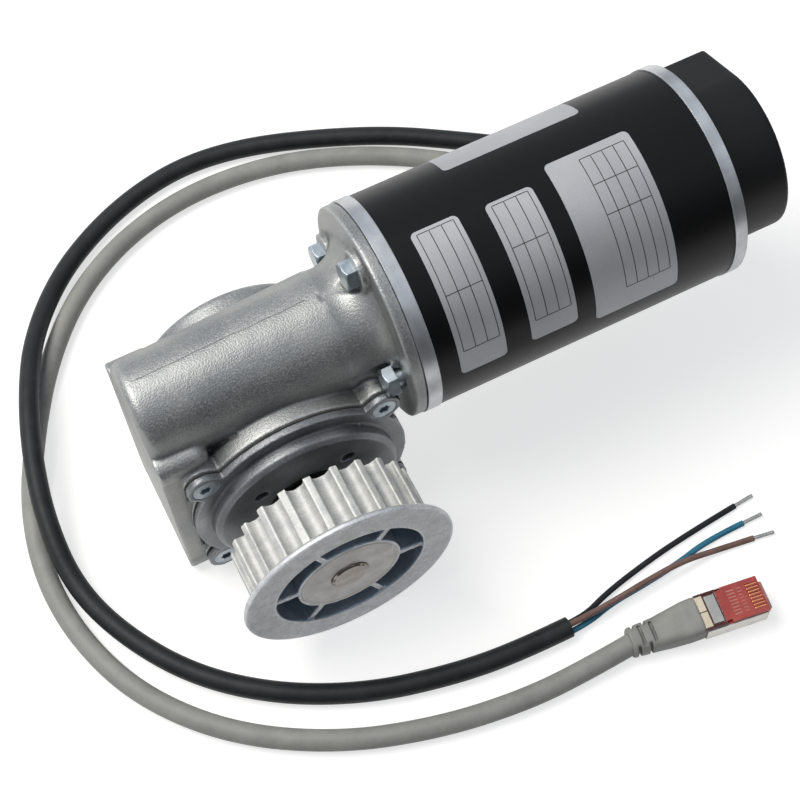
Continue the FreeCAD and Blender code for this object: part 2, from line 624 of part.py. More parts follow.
def make_motor_shaft():
    """Stepped motor shaft from the worm end bearing to the encoder."""
    return turned_on_motor([(END_WALL + 0.4, 0), (END_WALL + 0.4, WORM_BEARING[0]), (WORM_END, WORM_BEARING[0]),
                            (WORM_END, FRONT_BEARING[0]), (MOTOR_BEARING_END + 0.1, FRONT_BEARING[0]),
                            (MOTOR_BEARING_END + 0.1, FRONT_BEARING[0] - 0.3),
                            (MOTOR_BEARING_END + 1.2, FRONT_BEARING[0] - 0.3),
                            (MOTOR_BEARING_END + 1.2, FRONT_BEARING[0]),
                            (REAR_BEARING_START - 3.0, FRONT_BEARING[0]), (REAR_BEARING_START - 3.0, 5.0),
                            (REAR_BEARING_START, 5.0), (REAR_BEARING_START, REAR_BEARING[0]),
                            (REAR_BEARING_END + 2.0, REAR_BEARING[0]), (REAR_BEARING_END + 2.0, ENCODER_SHAFT_RADIUS),
                            (CAP_END - CAP_WALL - 4.5, ENCODER_SHAFT_RADIUS), (CAP_END - CAP_WALL - 4.5, 0)])


def make_retaining_ring():
    """Open ring in the shaft groove behind the front motor bearing."""
    start = MOTOR_BEARING_END + 0.15
    ring = turned_on_motor([(start, FRONT_BEARING[0] - 0.25), (start + 1.0, FRONT_BEARING[0] - 0.25),
                            (start + 1.0, FRONT_BEARING[0] + 2.2), (start, FRONT_BEARING[0] + 2.2)])
    return ring.cut(box(start, start + 1.0, -2.0, 2.0, AXIS_Z, AXIS_Z + 12.0))


def make_worm():
    """Two start worm sleeve with a plain neck up to the end bearing."""
    half_pitch = (math.pi * MODULE / 2 - TOOTH_THINNING) / 2
    slope = math.tan(PRESSURE_ANGLE)
    pitch_radius = WORM_PITCH_DIAMETER / 2
    low = WORM_ROOT_RADIUS - 0.4
    high = WORM_TIP_RADIUS
    half_low = half_pitch + (pitch_radius - low) * slope
    half_high = half_pitch - (high - pitch_radius) * slope
    # built along Z and then laid along X, so that a thread faces the wheel at the output axis
    turns = math.ceil(WORM_LENGTH / 2 / WORM_LEAD) + 1
    begin = -(turns + 0.75) * WORM_LEAD
    height = (2 * turns + 1) * WORM_LEAD
    path = Part.makeHelix(WORM_LEAD, height, pitch_radius)
    path.translate(Vector(0, 0, begin))
    profile = Part.makePolygon([Vector(low, 0, begin - half_low), Vector(high, 0, begin - half_high),
                                Vector(high, 0, begin + half_high), Vector(low, 0, begin + half_low),
                                Vector(low, 0, begin - half_low)])
    thread = Part.Wire(path).makePipeShell([profile], True, True)
    span = Part.makeCylinder(high + 2, WORM_LENGTH, Vector(0, 0, -WORM_LENGTH / 2), Vector(0, 0, 1))
    thread = thread.common(span)
    core = Part.makeCylinder(WORM_ROOT_RADIUS, WORM_LENGTH, Vector(0, 0, -WORM_LENGTH / 2), Vector(0, 0, 1))
    solid = core
    for start in range(WORM_STARTS):
        copy = thread.copy()
        copy.rotate(Vector(0, 0, 0), Vector(0, 0, 1), 360.0 * start / WORM_STARTS)
        solid = solid.fuse(copy)
    solid.rotate(Vector(0, 0, 0), Vector(1, 1, 1), 120.0)
    solid.translate(Vector(OUTPUT_X, 0, AXIS_Z))
    neck = rod_x(WORM_ROOT_RADIUS - 0.2, WORM_BEARING_END + 0.05, WORM_START + 0.5)
    bore = rod_x(WORM_BEARING[0] + FIT, WORM_BEARING_END, WORM_END)
    return solid.fuse(neck).cut(bore)


def wheel_wire(out):
    """Closed outline of the toothed rim at a distance out, turned to follow the helix."""
    base = WHEEL_PITCH_RADIUS * math.cos(PRESSURE_ANGLE)
    involute_at_pitch = math.tan(PRESSURE_ANGLE) - PRESSURE_ANGLE
    half_at_pitch = (math.pi * MODULE / 2 - TOOTH_THINNING) / (2 * WHEEL_PITCH_RADIUS)
    lead_slope = WORM_LEAD / (math.pi * WORM_PITCH_DIAMETER)
    twist = -out * lead_slope / WHEEL_PITCH_RADIUS
    radii = [base + (WHEEL_TIP_RADIUS - base) * share for share in (0.0, 0.35, 0.7, 1.0)]

    def half_angle(radius):
        pressure = math.acos(min(1.0, base / radius))
        return half_at_pitch + involute_at_pitch - (math.tan(pressure) - pressure)

    def place(radius, angle):
        return Vector(OUTPUT_X + radius * math.sin(angle), -out, radius * math.cos(angle))

    edges = []
    step = 2 * math.pi / WHEEL_TEETH
    for tooth in range(WHEEL_TEETH):
        middle = (tooth + 0.5) * step + twist
        rise = [place(radius, middle - half_angle(radius)) for radius in radii]
        fall = [place(radius, middle + half_angle(radius)) for radius in reversed(radii)]
        foot_in = place(WHEEL_ROOT_RADIUS, middle - half_angle(base))
        foot_out = place(WHEEL_ROOT_RADIUS, middle + half_angle(base))
        next_in = place(WHEEL_ROOT_RADIUS, middle + step - half_angle(base))
        edges.append(Part.LineSegment(foot_in, rise[0]).toShape())
        curve = Part.BSplineCurve()
        curve.interpolate(rise)
        edges.append(curve.toShape())
        edges.append(Part.Arc(rise[-1], place(WHEEL_TIP_RADIUS, middle), fall[0]).toShape())
        curve = Part.BSplineCurve()
        curve.interpolate(fall)
        edges.append(curve.toShape())
        edges.append(Part.LineSegment(fall[-1], foot_out).toShape())
        edges.append(Part.Arc(foot_out, place(WHEEL_ROOT_RADIUS, middle + step / 2), next_in).toShape())
    return Part.Wire(edges)


def make_wheel_rim():
    """Bronze rim with helical teeth that follow the worm."""
    half = WHEEL_FACE / 2
    blank = Part.makeLoft([wheel_wire(out) for out in (-half, 0.0, half)], True, False)
    return blank.cut(rod_out(HUB_RADIUS, -half, half))


def make_wheel_hub():
    """Steel hub that carries the rim and fills the space between the bearings."""
    front = FRONT_BEARING_END - OUTPUT_BEARING[2]
    back = BACK_BEARING_START + OUTPUT_BEARING[2]
    half = WHEEL_FACE / 2
    neck = OUTPUT_BEARING[0] + RING_SHARE * (OUTPUT_BEARING[1] - OUTPUT_BEARING[0])
    solid = turned_on_output([(back + 0.05, WHEEL_SEAT_RADIUS + FIT), (front - 0.05, WHEEL_SEAT_RADIUS + FIT),
                              (front - 0.05, neck), (half + 2.5, neck + 2.5), (half + 2.5, HUB_RADIUS - 2.0),
                              (half, HUB_RADIUS - FIT), (-half, HUB_RADIUS - FIT), (-half - 2.5, HUB_RADIUS - 2.0),
                              (-half - 2.5, neck + 2.5), (back + 0.05, neck)])
    return solid.cut(key_box(SCREW_CLEARANCE))


def key_box(clearance):
    """Space of the wheel key, above the output axis."""
    return box(OUTPUT_X - KEY_WIDTH / 2 - clearance, OUTPUT_X + KEY_WIDTH / 2 + clearance,
               -KEY_LENGTH / 2 - clearance, KEY_LENGTH / 2 + clearance,
               WHEEL_SEAT_RADIUS - KEY_WIDTH / 2 - clearance, WHEEL_SEAT_RADIUS + KEY_WIDTH / 2 + clearance)


def make_output_shaft():
    """Stepped output shaft with a key seat and the pulley end."""
    front = FRONT_BEARING_END - OUTPUT_BEARING[2]
    back = BACK_BEARING_START + OUTPUT_BEARING[2]
    bearing_radius = OUTPUT_BEARING[0]
    chamfer = 0.5
    solid = turned_on_output([(BACK_BEARING_START + 0.3, 0), (BACK_BEARING_START + 0.3, bearing_radius),
                              (back + 0.05, bearing_radius), (back + 0.05, WHEEL_SEAT_RADIUS),
                              (front - 0.05, WHEEL_SEAT_RADIUS), (front - 0.05, bearing_radius),
                              (COVER_FRONT + 0.6, bearing_radius), (COVER_FRONT + 0.6, SHAFT_END_RADIUS),
                              (SHAFT_FRONT - chamfer, SHAFT_END_RADIUS), (SHAFT_FRONT, SHAFT_END_RADIUS - chamfer),
                              (SHAFT_FRONT, 0)])
    return solid.cut(key_box(FIT))


def pulley_wire(out):
    """Closed outline of the toothed rim with round grooves."""
    middle = PULLEY_TIP_RADIUS - GROOVE_DEPTH + GROOVE_RADIUS
    opening = math.acos((PULLEY_TIP_RADIUS ** 2 + middle ** 2 - GROOVE_RADIUS ** 2)
                        / (2 * PULLEY_TIP_RADIUS * middle))
    step = 2 * math.pi / PULLEY_TEETH

    def place(radius, angle):
        return Vector(OUTPUT_X + radius * math.cos(angle), -out, radius * math.sin(angle))

    edges = []
    for tooth in range(PULLEY_TEETH):
        tip = math.radians(TOOTH_TIP_ANGLE) + tooth * step
        groove = tip + step / 2
        start = place(PULLEY_TIP_RADIUS, groove - opening)
        end = place(PULLEY_TIP_RADIUS, groove + opening)
        land = place(PULLEY_TIP_RADIUS, tip - step / 2 + opening)
        edges.append(Part.Arc(land, place(PULLEY_TIP_RADIUS, tip), start).toShape())
        edges.append(Part.Arc(start, place(PULLEY_TIP_RADIUS - GROOVE_DEPTH, groove), end).toShape())
    return Part.Wire(edges)


def make_pulley():
    """Toothed belt pulley with one flange, thin ribs and a plain hub."""
    rim = Part.Face(pulley_wire(PULLEY_BACK)).extrude(Vector(0, -BELT_WIDTH, 0))
    flange = turned_on_output([(PULLEY_RIM_FRONT, 0), (PULLEY_RIM_FRONT, PULLEY_FLANGE_RADIUS - 0.9),
                               (PULLEY_RIM_FRONT + 0.9, PULLEY_FLANGE_RADIUS), (PULLEY_FRONT - 0.3, PULLEY_FLANGE_RADIUS),
                               (PULLEY_FRONT, PULLEY_FLANGE_RADIUS - 0.3), (PULLEY_FRONT, 0)])
    solid = united([rim, flange]).cut(rod_out(PULLEY_INNER_RADIUS, PULLEY_BACK, PULLEY_FRONT))
    middle = (PULLEY_BACK + PULLEY_FRONT) / 2
    web = rod_out(PULLEY_INNER_RADIUS + 0.5, middle - 1.5, middle + 1.5)
    hub = turned_on_output([(PULLEY_HUB_START, 0), (PULLEY_HUB_START, PULLEY_HUB_RADIUS - 4.0),
                            (PULLEY_BACK, PULLEY_HUB_RADIUS - 4.0), (PULLEY_BACK, PULLEY_HUB_RADIUS),
                            (PULLEY_HUB_FRONT, PULLEY_HUB_RADIUS), (PULLEY_HUB_FRONT, 0)])
    rib = box(OUTPUT_X + PULLEY_HUB_RADIUS - 0.5, OUTPUT_X + PULLEY_INNER_RADIUS + 0.5, -PULLEY_HUB_FRONT,
              -PULLEY_BACK - 1.0, -RIB_THICKNESS / 2, RIB_THICKNESS / 2)
    ribs = [around_output(rib, RIB_START_ANGLE + 360.0 * k / RIBS) for k in range(RIBS)]
    solid = united([solid, web, hub] + ribs)
    return solid.cut(rod_out(SHAFT_END_RADIUS + FIT, PULLEY_HUB_START, PULLEY_FRONT))


def make_encoder_sensor():
    """Forked sensor on the encoder board, astride the edge of the disc."""
    low = AXIS_Z + ENCODER_DISC_RADIUS - 3.0
    block = box(ENCODER_BOARD_END, ENCODER_BOARD_END + 6.4, -4.0, 4.0, low, AXIS_Z + ENCODER_DISC_RADIUS + 4.0)
    slot = box(ENCODER_DISC_START - 0.6, ENCODER_DISC_START + 1.2, -4.0, 4.0, low, AXIS_Z + ENCODER_DISC_RADIUS + 1.0)
    return block.cut(slot)


def cord_path(name, points, diameter):
    """Wire of straight runs and the largest tangent arcs that they leave room for."""
    edges = []
    radii = []
    start = points[0]
    for before, corner, after in zip(points, points[1:], points[2:]):
        inward = (before - corner).normalize()
        outward = (after - corner).normalize()
        turn = math.pi - inward.getAngle(outward)
        cut = CORD_ARC_SHARE * min((before - corner).Length, (after - corner).Length)
        radius = cut / math.tan(turn / 2)
        radii.append(round(radius, 1))
        first = corner + inward * cut
        last = corner + outward * cut
        middle = (inward + outward).normalize()
        inside = corner + middle * (radius / math.cos(turn / 2) - radius)
        edges.append(Part.LineSegment(start, first).toShape())
        edges.append(Part.Arc(first, inside, last).toShape())
        start = last
    edges.append(Part.LineSegment(start, points[-1]).toShape())
    wire = Part.Wire(edges)
    print(name, "diameter", diameter, "length", round(wire.Length, 1), "radii", radii)
    return wire


def make_cord(name, route, diameter):
    """Round tube along a route of (x, y, z) points."""
    points = [Vector(*point) for point in route]
    wire = cord_path(name, points, diameter)
    disc = Part.Wire(Part.makeCircle(diameter / 2, points[0], points[1] - points[0]))
    tube = wire.makePipeShell([disc], True, False)
    expected = math.pi * diameter ** 2 / 4 * wire.Length
    print(name, "volume over section times length", round(tube.Volume / expected, 4))
    return tube


def on_floor(points, diameter):
    """Route points lying on the surface."""
    return [(x, y, FLOOR + diameter / 2) for x, y in points]


def plug_placed(shape):
    """Shape of the plug, moved from its own axes to where the plug lies."""
    copy = shape.copy()
    copy.rotate(Vector(0, 0, 0), Vector(0, 0, 1), PLUG_ANGLE)
    copy.translate(Vector(PLUG_X, PLUG_Y, FLOOR))
    return copy


def make_boot():
    """Tapered boot with cross slots that let its tail bend."""
    def section(x, width, height, corner, middle):
        face = rounded_face(lambda u, v: Vector(x, u, middle + v), width, height, corner)
        return face.OuterWire

    tail = section(0.0, 2 * BOOT_TAIL_RADIUS, 2 * BOOT_TAIL_RADIUS, 0.95 * BOOT_TAIL_RADIUS, PLUG_CABLE_HEIGHT)
    waist = section(0.6 * BOOT_LENGTH, 2 * BOOT_TAIL_RADIUS + 1.2, 2 * BOOT_TAIL_RADIUS, 2.6, PLUG_CABLE_HEIGHT + 0.2)
    head = section(BOOT_LENGTH, PLUG_WIDTH - 0.2, BOOT_HEIGHT, 1.4, PLUG_BASE + BOOT_HEIGHT / 2 - 0.6)
    solid = Part.makeLoft([tail, waist, head], True, True)
    for number in range(BOOT_SLOTS):
        x = 2.0 + 2.4 * number
        high = PLUG_CABLE_HEIGHT + (0.6 if number % 2 else 2.2)
        low = PLUG_CABLE_HEIGHT - (0.6 if number % 2 else 2.2)
        side = 2.0 if number % 2 else 0.6
        for cut in (box(x, x + 1.2, -9, 9, high, 12), box(x, x + 1.2, -9, 9, -2, low),
                    box(x, x + 1.2, side, 9, low - 0.1, high + 0.1), box(x, x + 1.2, -9, -side, low - 0.1, high + 0.1)):
            inside = box(x - 0.1, x + 1.3, -3.3, 3.3, PLUG_CABLE_HEIGHT - 3.3, PLUG_CABLE_HEIGHT + 3.3)
            solid = solid.cut(cut.cut(inside))
    return solid


def make_plug_body():
    """Clear plug body with contact slots on top and a latch lever below."""
    start = BOOT_LENGTH
    end = start + PLUG_LENGTH
    half = PLUG_WIDTH / 2 - PLUG_SHEET
    solid = box(start, end, -half, half, PLUG_BASE, PLUG_BASE + PLUG_HEIGHT)
    for y in contact_places():
        solid = solid.cut(box(end - CONTACT_LENGTH, end, y - 0.28, y + 0.28, PLUG_BASE + PLUG_HEIGHT - 2.4,
                              PLUG_BASE + PLUG_HEIGHT))
    solid = solid.cut(box(start + 3.5, start + 8.5, -3.2, 3.2, PLUG_BASE + PLUG_HEIGHT - 1.0, PLUG_BASE + PLUG_HEIGHT))
    lever = profile_face([(end, PLUG_BASE + 0.4), (end, PLUG_BASE - 0.9), (end - 1.6, PLUG_BASE - 1.1),
                          (end - 14.0, 0.2), (end - 14.2, 1.2), (end - 2.4, PLUG_BASE + 0.4)],
                         lambda x, z: Vector(x, -3.1, z))
    return united([solid, lever.extrude(Vector(0, 6.2, 0))])


def make_plug_shield():
    """Thin metal sheet along both sides of the plug and under its rear half."""
    start = BOOT_LENGTH
    half = PLUG_WIDTH / 2
    outer = box(start, start + PLUG_SHEET_LENGTH, -half, half, PLUG_BASE - PLUG_SHEET, PLUG_BASE + PLUG_HEIGHT - 0.8)
    inner = box(start, start + PLUG_SHEET_LENGTH, -half + PLUG_SHEET, half - PLUG_SHEET, PLUG_BASE,
                PLUG_BASE + PLUG_HEIGHT)
    window = box(start + 4.0, start + PLUG_SHEET_LENGTH, -half + 1.2, half - 1.2, PLUG_BASE - 1, PLUG_BASE + 1)
    return outer.cut(inner).cut(window)


def contact_places():
    """Sideways place of each of the eight contacts."""
    return [CONTACT_PITCH * (number - 3.5) for number in range(8)]


def make_plug_contacts():
    """Eight contact blades in their slots."""
    end = BOOT_LENGTH + PLUG_LENGTH
    top = PLUG_BASE + PLUG_HEIGHT
    return group([box(end - CONTACT_LENGTH, end - 0.3, y - 0.2, y + 0.2, top - 2.4, top - 0.35)
                  for y in contact_places()])


# Small sizes of the inner pieces that lean on the ones above
HUB_RADIUS = WHEEL_ROOT_RADIUS - 3.6
WHEEL_SEAT_RADIUS = OUTPUT_BEARING[0] + 1.0
KEY_WIDTH = 5.0
KEY_LENGTH = 14.0
SEAL_RADIUS = 13.0
SEAL_START = FRONT_BEARING_END + 1.4
SEAL_WIDTH = 5.0
MOTOR_SEAL_SET = 5.5
MOTOR_SEAL_WIDTH = 6.0
PRELOAD = 0.8
GROMMET_NECK = 4.2
GROMMET_FLANGE = 4.8
GROMMET_SLEEVE = 5.0
ENCODER_BOARD_END = CAP_START + 4.4
ENCODER_DISC_START = ENCODER_BOARD_END + 3.0

# Gearbox
NODES["gearbox_housing"] = make_housing()
NODES["output_cover"] = make_cover()
NODES["cover_gasket"] = make_gasket()
NODES["cover_screws"] = make_cover_screws()
NODES["flange_screws"] = make_flange_screws()
NODES["worm"] = make_worm()
NODES["worm_wheel_rim"] = make_wheel_rim()
NODES["wheel_hub"] = make_wheel_hub()
NODES["wheel_key"] = key_box(0.0)
NODES["output_shaft"] = make_output_shaft()
NODES["pulley"] = make_pulley()
NODES["output_seal"] = turned_on_output([(SEAL_START + 0.05, SEAL_RADIUS - FIT),
                                         (SEAL_START + SEAL_WIDTH, SEAL_RADIUS - FIT),
                                         (SEAL_START + SEAL_WIDTH, OUTPUT_BEARING[0] + 2.0),
                                         (SEAL_START + SEAL_WIDTH - 2.0, OUTPUT_BEARING[0] + RUNNING),
                                         (SEAL_START + 1.0, OUTPUT_BEARING[0] + RUNNING),
                                         (SEAL_START + 0.05, OUTPUT_BEARING[0] + 2.0)])
back_ring, back_inner = bearing(OUTPUT_BEARING, BACK_BEARING_START, turned_on_output)
front_ring, front_inner = bearing(OUTPUT_BEARING, FRONT_BEARING_END - OUTPUT_BEARING[2], turned_on_output)
NODES["output_bearing_outer_rings"] = group([back_ring, front_ring])
NODES["output_bearing_inner_rings"] = group([back_inner, front_inner])

# Motor
seal_start = FLANGE_BACK - MOTOR_SEAL_SET
seal_end = seal_start + MOTOR_SEAL_WIDTH
NODES["motor_shaft_seal"] = turned_on_motor([(seal_start, WORM_BEARING[1] - FIT), (seal_end, WORM_BEARING[1] - FIT),
                                             (seal_end, FRONT_BEARING[0] + 2.0),
                                             (seal_end - 2.0, FRONT_BEARING[0] + RUNNING),
                                             (seal_start + 1.5, FRONT_BEARING[0] + RUNNING),
                                             (seal_start, FRONT_BEARING[0] + 2.0)])
NODES["front_end_shield"] = make_front_shield()
NODES["motor_tube"] = turned_on_motor([(TUBE_START, TUBE_BORE), (TUBE_END, TUBE_BORE), (TUBE_END, TUBE_RADIUS),
                                       (TUBE_START, TUBE_RADIUS)])
NODES["rear_end_shield"] = make_rear_shield()
NODES["rear_cap"] = make_cap()
NODES["cap_screws"] = make_cap_screws()
NODES["stator_core"] = stator_plate(TOOTH_WIDTH, TUBE_BORE - FIT, STACK_START, STACK_END)
NODES["stator_insulators"] = group([stator_plate(TOOTH_WIDTH + 0.2, TUBE_BORE - 1.5, STACK_START - INSULATOR + 0.05,
                                                 STACK_START),
                                    stator_plate(TOOTH_WIDTH + 0.2, TUBE_BORE - 1.5, STACK_END,
                                                 STACK_END + INSULATOR - 0.05)])
NODES["stator_windings"] = make_coils()
NODES["motor_shaft"] = make_motor_shaft()
core_radius = ROTOR_RADIUS - MAGNET_THICKNESS - FIT
NODES["rotor_core"] = turned_on_motor([(STACK_START - ROTOR_OVERHANG, FRONT_BEARING[0] + FIT),
                                       (STACK_END + ROTOR_OVERHANG, FRONT_BEARING[0] + FIT),
                                       (STACK_END + ROTOR_OVERHANG, core_radius),
                                       (STACK_START - ROTOR_OVERHANG, core_radius)])
NODES["rotor_magnets"] = make_magnets()
NODES["retaining_ring"] = make_retaining_ring()
worm_ring, worm_inner = bearing(WORM_BEARING, END_WALL, turned_on_motor)
motor_ring, motor_inner = bearing(FRONT_BEARING, MOTOR_BEARING_START, turned_on_motor)
rear_ring, rear_inner = bearing(REAR_BEARING, REAR_BEARING_START, turned_on_motor)
NODES["rotor_bearing_outer_rings"] = group([worm_ring, motor_ring, rear_ring])
NODES["rotor_bearing_inner_rings"] = group([worm_inner, motor_inner, rear_inner])
NODES["preload_washer"] = turned_on_motor([(REAR_BEARING_END + 0.1, REAR_BEARING[1] - 2.4),
                                           (REAR_BEARING_END + PRELOAD - 0.1, REAR_BEARING[1] - 2.4),
                                           (REAR_BEARING_END + PRELOAD - 0.1, REAR_BEARING[1] - 0.2),
                                           (REAR_BEARING_END + 0.1, REAR_BEARING[1] - 0.2)])
board_end = SENSOR_BOARD_START + BOARD_THICKNESS
NODES["sensor_board"] = turned_on_motor([(SENSOR_BOARD_START, ROTOR_RADIUS - 4.0), (board_end, ROTOR_RADIUS - 4.0),
                                         (board_end, TUBE_BORE - 0.15), (SENSOR_BOARD_START, TUBE_BORE - 0.15)])
hall = box(SENSOR_BOARD_START - 1.4, SENSOR_BOARD_START, -2.0, 2.0, AXIS_Z + ROTOR_RADIUS - 3.6, AXIS_Z + ROTOR_RADIUS - 0.6)
NODES["hall_sensors"] = group([around_motor(hall, 30.0 * k) for k in (-1, 0, 1)])

# Encoder
encoder_board = rod_x(ENCODER_BOARD_RADIUS, ENCODER_BOARD_END - BOARD_THICKNESS, ENCODER_BOARD_END)
encoder_board = encoder_board.cut(rod_x(ENCODER_SHAFT_RADIUS + 1.5, ENCODER_BOARD_END - BOARD_THICKNESS, ENCODER_BOARD_END))
for y, z in cap_screw_places():
    hole = rod_x(PILLAR_RADIUS + 0.1, ENCODER_BOARD_END - BOARD_THICKNESS, ENCODER_BOARD_END, y, z)
    encoder_board = encoder_board.cut(hole)
NODES["encoder_board"] = encoder_board
NODES["encoder_sensor"] = make_encoder_sensor()
NODES["encoder_disc"] = turned_on_motor([(ENCODER_DISC_START, ENCODER_SHAFT_RADIUS + FIT),
                                         (ENCODER_DISC_START + 0.6, ENCODER_SHAFT_RADIUS + FIT),
                                         (ENCODER_DISC_START + 0.6, ENCODER_DISC_RADIUS),
                                         (ENCODER_DISC_START, ENCODER_DISC_RADIUS)])
NODES["encoder_hub"] = turned_on_motor([(ENCODER_DISC_START + 0.6, ENCODER_SHAFT_RADIUS + FIT),
                                        (ENCODER_DISC_START + 4.0, ENCODER_SHAFT_RADIUS + FIT),
                                        (ENCODER_DISC_START + 4.0, ENCODER_SHAFT_RADIUS + 2.5),
                                        (ENCODER_DISC_START + 2.2, ENCODER_SHAFT_RADIUS + 2.5),
                                        (ENCODER_DISC_START + 1.6, ENCODER_SHAFT_RADIUS + 5.0),
                                        (ENCODER_DISC_START + 0.6, ENCODER_SHAFT_RADIUS + 5.0)])

# Cables
NODES["power_grommet"] = make_grommet(POWER_OUTLET_Y, POWER_DIAMETER / 2)
NODES["signal_grommet"] = make_grommet(SIGNAL_OUTLET_Y, SIGNAL_DIAMETER / 2)
cable_top = CAP_BOTTOM + CAP_WALL + 2.4
power_low = FLOOR + POWER_DIAMETER / 2
power_route = [(OUTLET_X, POWER_OUTLET_Y, cable_top), (OUTLET_X, POWER_OUTLET_Y, cable_top - CABLE_DROP),
               (181.0, 25.8, -17.2), (177.0, 39.6, -25.2)]
power_route += on_floor([(169.5, 55.5), (157.0, 68.2), (140.0, 80.5), (120.5, 93.5), (98.0, 104.0), (76.0, 111.8),
                         (56.0, 114.6), (37.5, 111.8), (19.0, 104.6)], POWER_DIAMETER)
# here the power cable rides over the signal cable
power_route += [(1.0, 92.3, power_low + 0.8), (-14.4, 71.2, power_low + 6.4), (-23.0, 50.5, power_low + 9.8),
                (-29.3, 30.0, power_low + 9.8), (-33.2, 10.0, power_low + 6.8), (-33.4, -10.0, power_low + 1.2)]
power_route += on_floor([(-26.5, -30.0), (-13.0, -51.0), (6.0, -67.2), (29.0, -78.8), (53.0, -84.9), (73.0, -87.3),
                         (89.6, -87.4)], POWER_DIAMETER)
NODES["power_cable"] = make_cord("power_cable", power_route, POWER_DIAMETER)
signal_route = [(OUTLET_X, SIGNAL_OUTLET_Y, cable_top), (OUTLET_X, SIGNAL_OUTLET_Y, cable_top - CABLE_DROP),
                (178.8, 15.4, -17.4), (171.5, 28.2, -25.4)]
signal_route += on_floor([(160.5, 45.5), (147.0, 62.5), (128.5, 78.5), (104.0, 93.0), (78.0, 101.8), (50.0, 103.2),
                          (25.0, 96.6), (4.0, 83.8), (-13.0, 64.8), (-26.5, 41.8), (-36.5, 19.0), (-40.4, -4.5),
                          (-37.6, -28.0), (-28.2, -51.0), (-9.8, -72.4), (16.0, -88.4), (43.0, -97.2), (68.0, -101.0)],
                         SIGNAL_DIAMETER)
signal_route += [(88.0, -101.1, FLOOR + SIGNAL_DIAMETER / 2 + 0.2)]
signal_route += [(103.5, -100.3, FLOOR + PLUG_CABLE_HEIGHT)]
NODES["signal_cable"] = make_cord("signal_cable", signal_route, SIGNAL_DIAMETER)

# Cores of the power cable, which leave its end side by side, with bare tinned ends
sheath_x, sheath_y, sheath_z = power_route[-1]
core_start = sheath_x + 0.05
core_low = FLOOR + CORE_DIAMETER / 2
core_routes = {
    "core_black": [(core_start, sheath_y + 1.3, sheath_z - 0.8), (core_start + 6.0, sheath_y + 1.3, sheath_z - 0.9),
                   (103.0, -83.2, core_low + 0.5), (113.5, -80.6, core_low), (131.5, -77.5, core_low),
                   (152.0, -75.7, core_low)],
    "core_blue": [(core_start, sheath_y - 1.3, sheath_z - 0.8), (core_start + 6.0, sheath_y - 1.3, sheath_z - 0.9),
                  (104.0, -86.6, core_low + 0.3), (115.0, -86.0, core_low), (128.0, -84.0, core_low),
                  (139.0, -81.6, core_low), (151.3, -81.6, core_low)],
    "core_brown": [(core_start, sheath_y + 0.1, sheath_z + 1.4), (core_start + 6.0, sheath_y + 0.1, sheath_z + 1.45),
                   (105.0, -85.4, core_low + 3.4), (117.0, -83.9, core_low + 3.6), (128.5, -83.9, core_low + 3.2),
                   (140.5, -85.4, core_low), (151.5, -87.2, core_low)]}
tips = []
for name, route in core_routes.items():
    NODES[name] = make_cord(name, route, CORE_DIAMETER)
    end = Vector(*route[-1])
    tips.append(Part.makeCylinder(TIP_DIAMETER / 2, TIP_LENGTH, end, end - Vector(*route[-2])))
NODES["core_tips"] = group(tips)

# Plug on the signal cable, built along X from the back of its boot and then turned into place
NODES["plug_boot"] = plug_placed(make_boot()).cut(NODES["signal_cable"])
NODES["plug_body"] = plug_placed(make_plug_body())
NODES["plug_shield"] = plug_placed(make_plug_shield())
NODES["plug_contacts"] = plug_placed(make_plug_contacts())

for name in sorted(NODES):
    shape = NODES[name]
    print(name, "solids", len(shape.Solids), "valid", shape.isValid(), "volume", round(shape.Volume, 1))
os.makedirs("parts", exist_ok=True)
for name in NODES:
    NODES[name].exportStep("parts/" + name + ".step")
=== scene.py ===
"""Dressed scene of a worm gearmotor with a belt pulley, an encoder cap and two cables."""
import logging
import math
from dataclasses import dataclass
from enum import Enum, IntEnum
from typing import Any, Callable, Optional, Sequence

import bmesh
import bpy
from mathutils import Matrix, Vector


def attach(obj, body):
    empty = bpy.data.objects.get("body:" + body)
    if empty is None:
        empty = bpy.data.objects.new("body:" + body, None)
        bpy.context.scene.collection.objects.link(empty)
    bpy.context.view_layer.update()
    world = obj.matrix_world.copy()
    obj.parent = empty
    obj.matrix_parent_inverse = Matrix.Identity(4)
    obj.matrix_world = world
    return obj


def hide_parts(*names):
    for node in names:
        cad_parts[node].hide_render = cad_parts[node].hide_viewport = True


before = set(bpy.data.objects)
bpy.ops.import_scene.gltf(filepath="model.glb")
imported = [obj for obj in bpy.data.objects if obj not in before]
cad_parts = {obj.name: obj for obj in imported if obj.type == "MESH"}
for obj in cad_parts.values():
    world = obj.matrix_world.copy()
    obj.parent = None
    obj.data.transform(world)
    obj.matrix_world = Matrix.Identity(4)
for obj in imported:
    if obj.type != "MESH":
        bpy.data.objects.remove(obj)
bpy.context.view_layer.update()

LOG = logging.getLogger("gearmotor")
MM = 0.001
Point = tuple[float, float, float]
Flat = tuple[float, float]

# Axes of the part in millimetres, as in the CAD model
AXIS_Z = 31.5
OUTPUT_X = 37.0
FLOOR_Z = -32.5

# Pointiness of a hollow that gets the full painted shade, where 0.5 is flat
HOLLOW = 0.46


class Body(str, Enum):
    """CAD body that a piece rides on."""

    GEARMOTOR = "gearmotor"
    OUTPUT = "output"


class Pattern(Enum):
    """Way in which a finish varies over its surface."""

    SPECKLE = "soft irregular specks"
    CELLS = "small grains with edges"
    TURNED_X = "fine rings along the motor axis"
    TURNED_OUT = "fine rings about the output axis"
    LAYERS = "sharp even layers along the motor axis"


class PulleyZone(IntEnum):
    """Zone of the pulley casting, in the order of its finishes."""

    TEETH = 0
    POCKET = 1
    FLANGE = 2


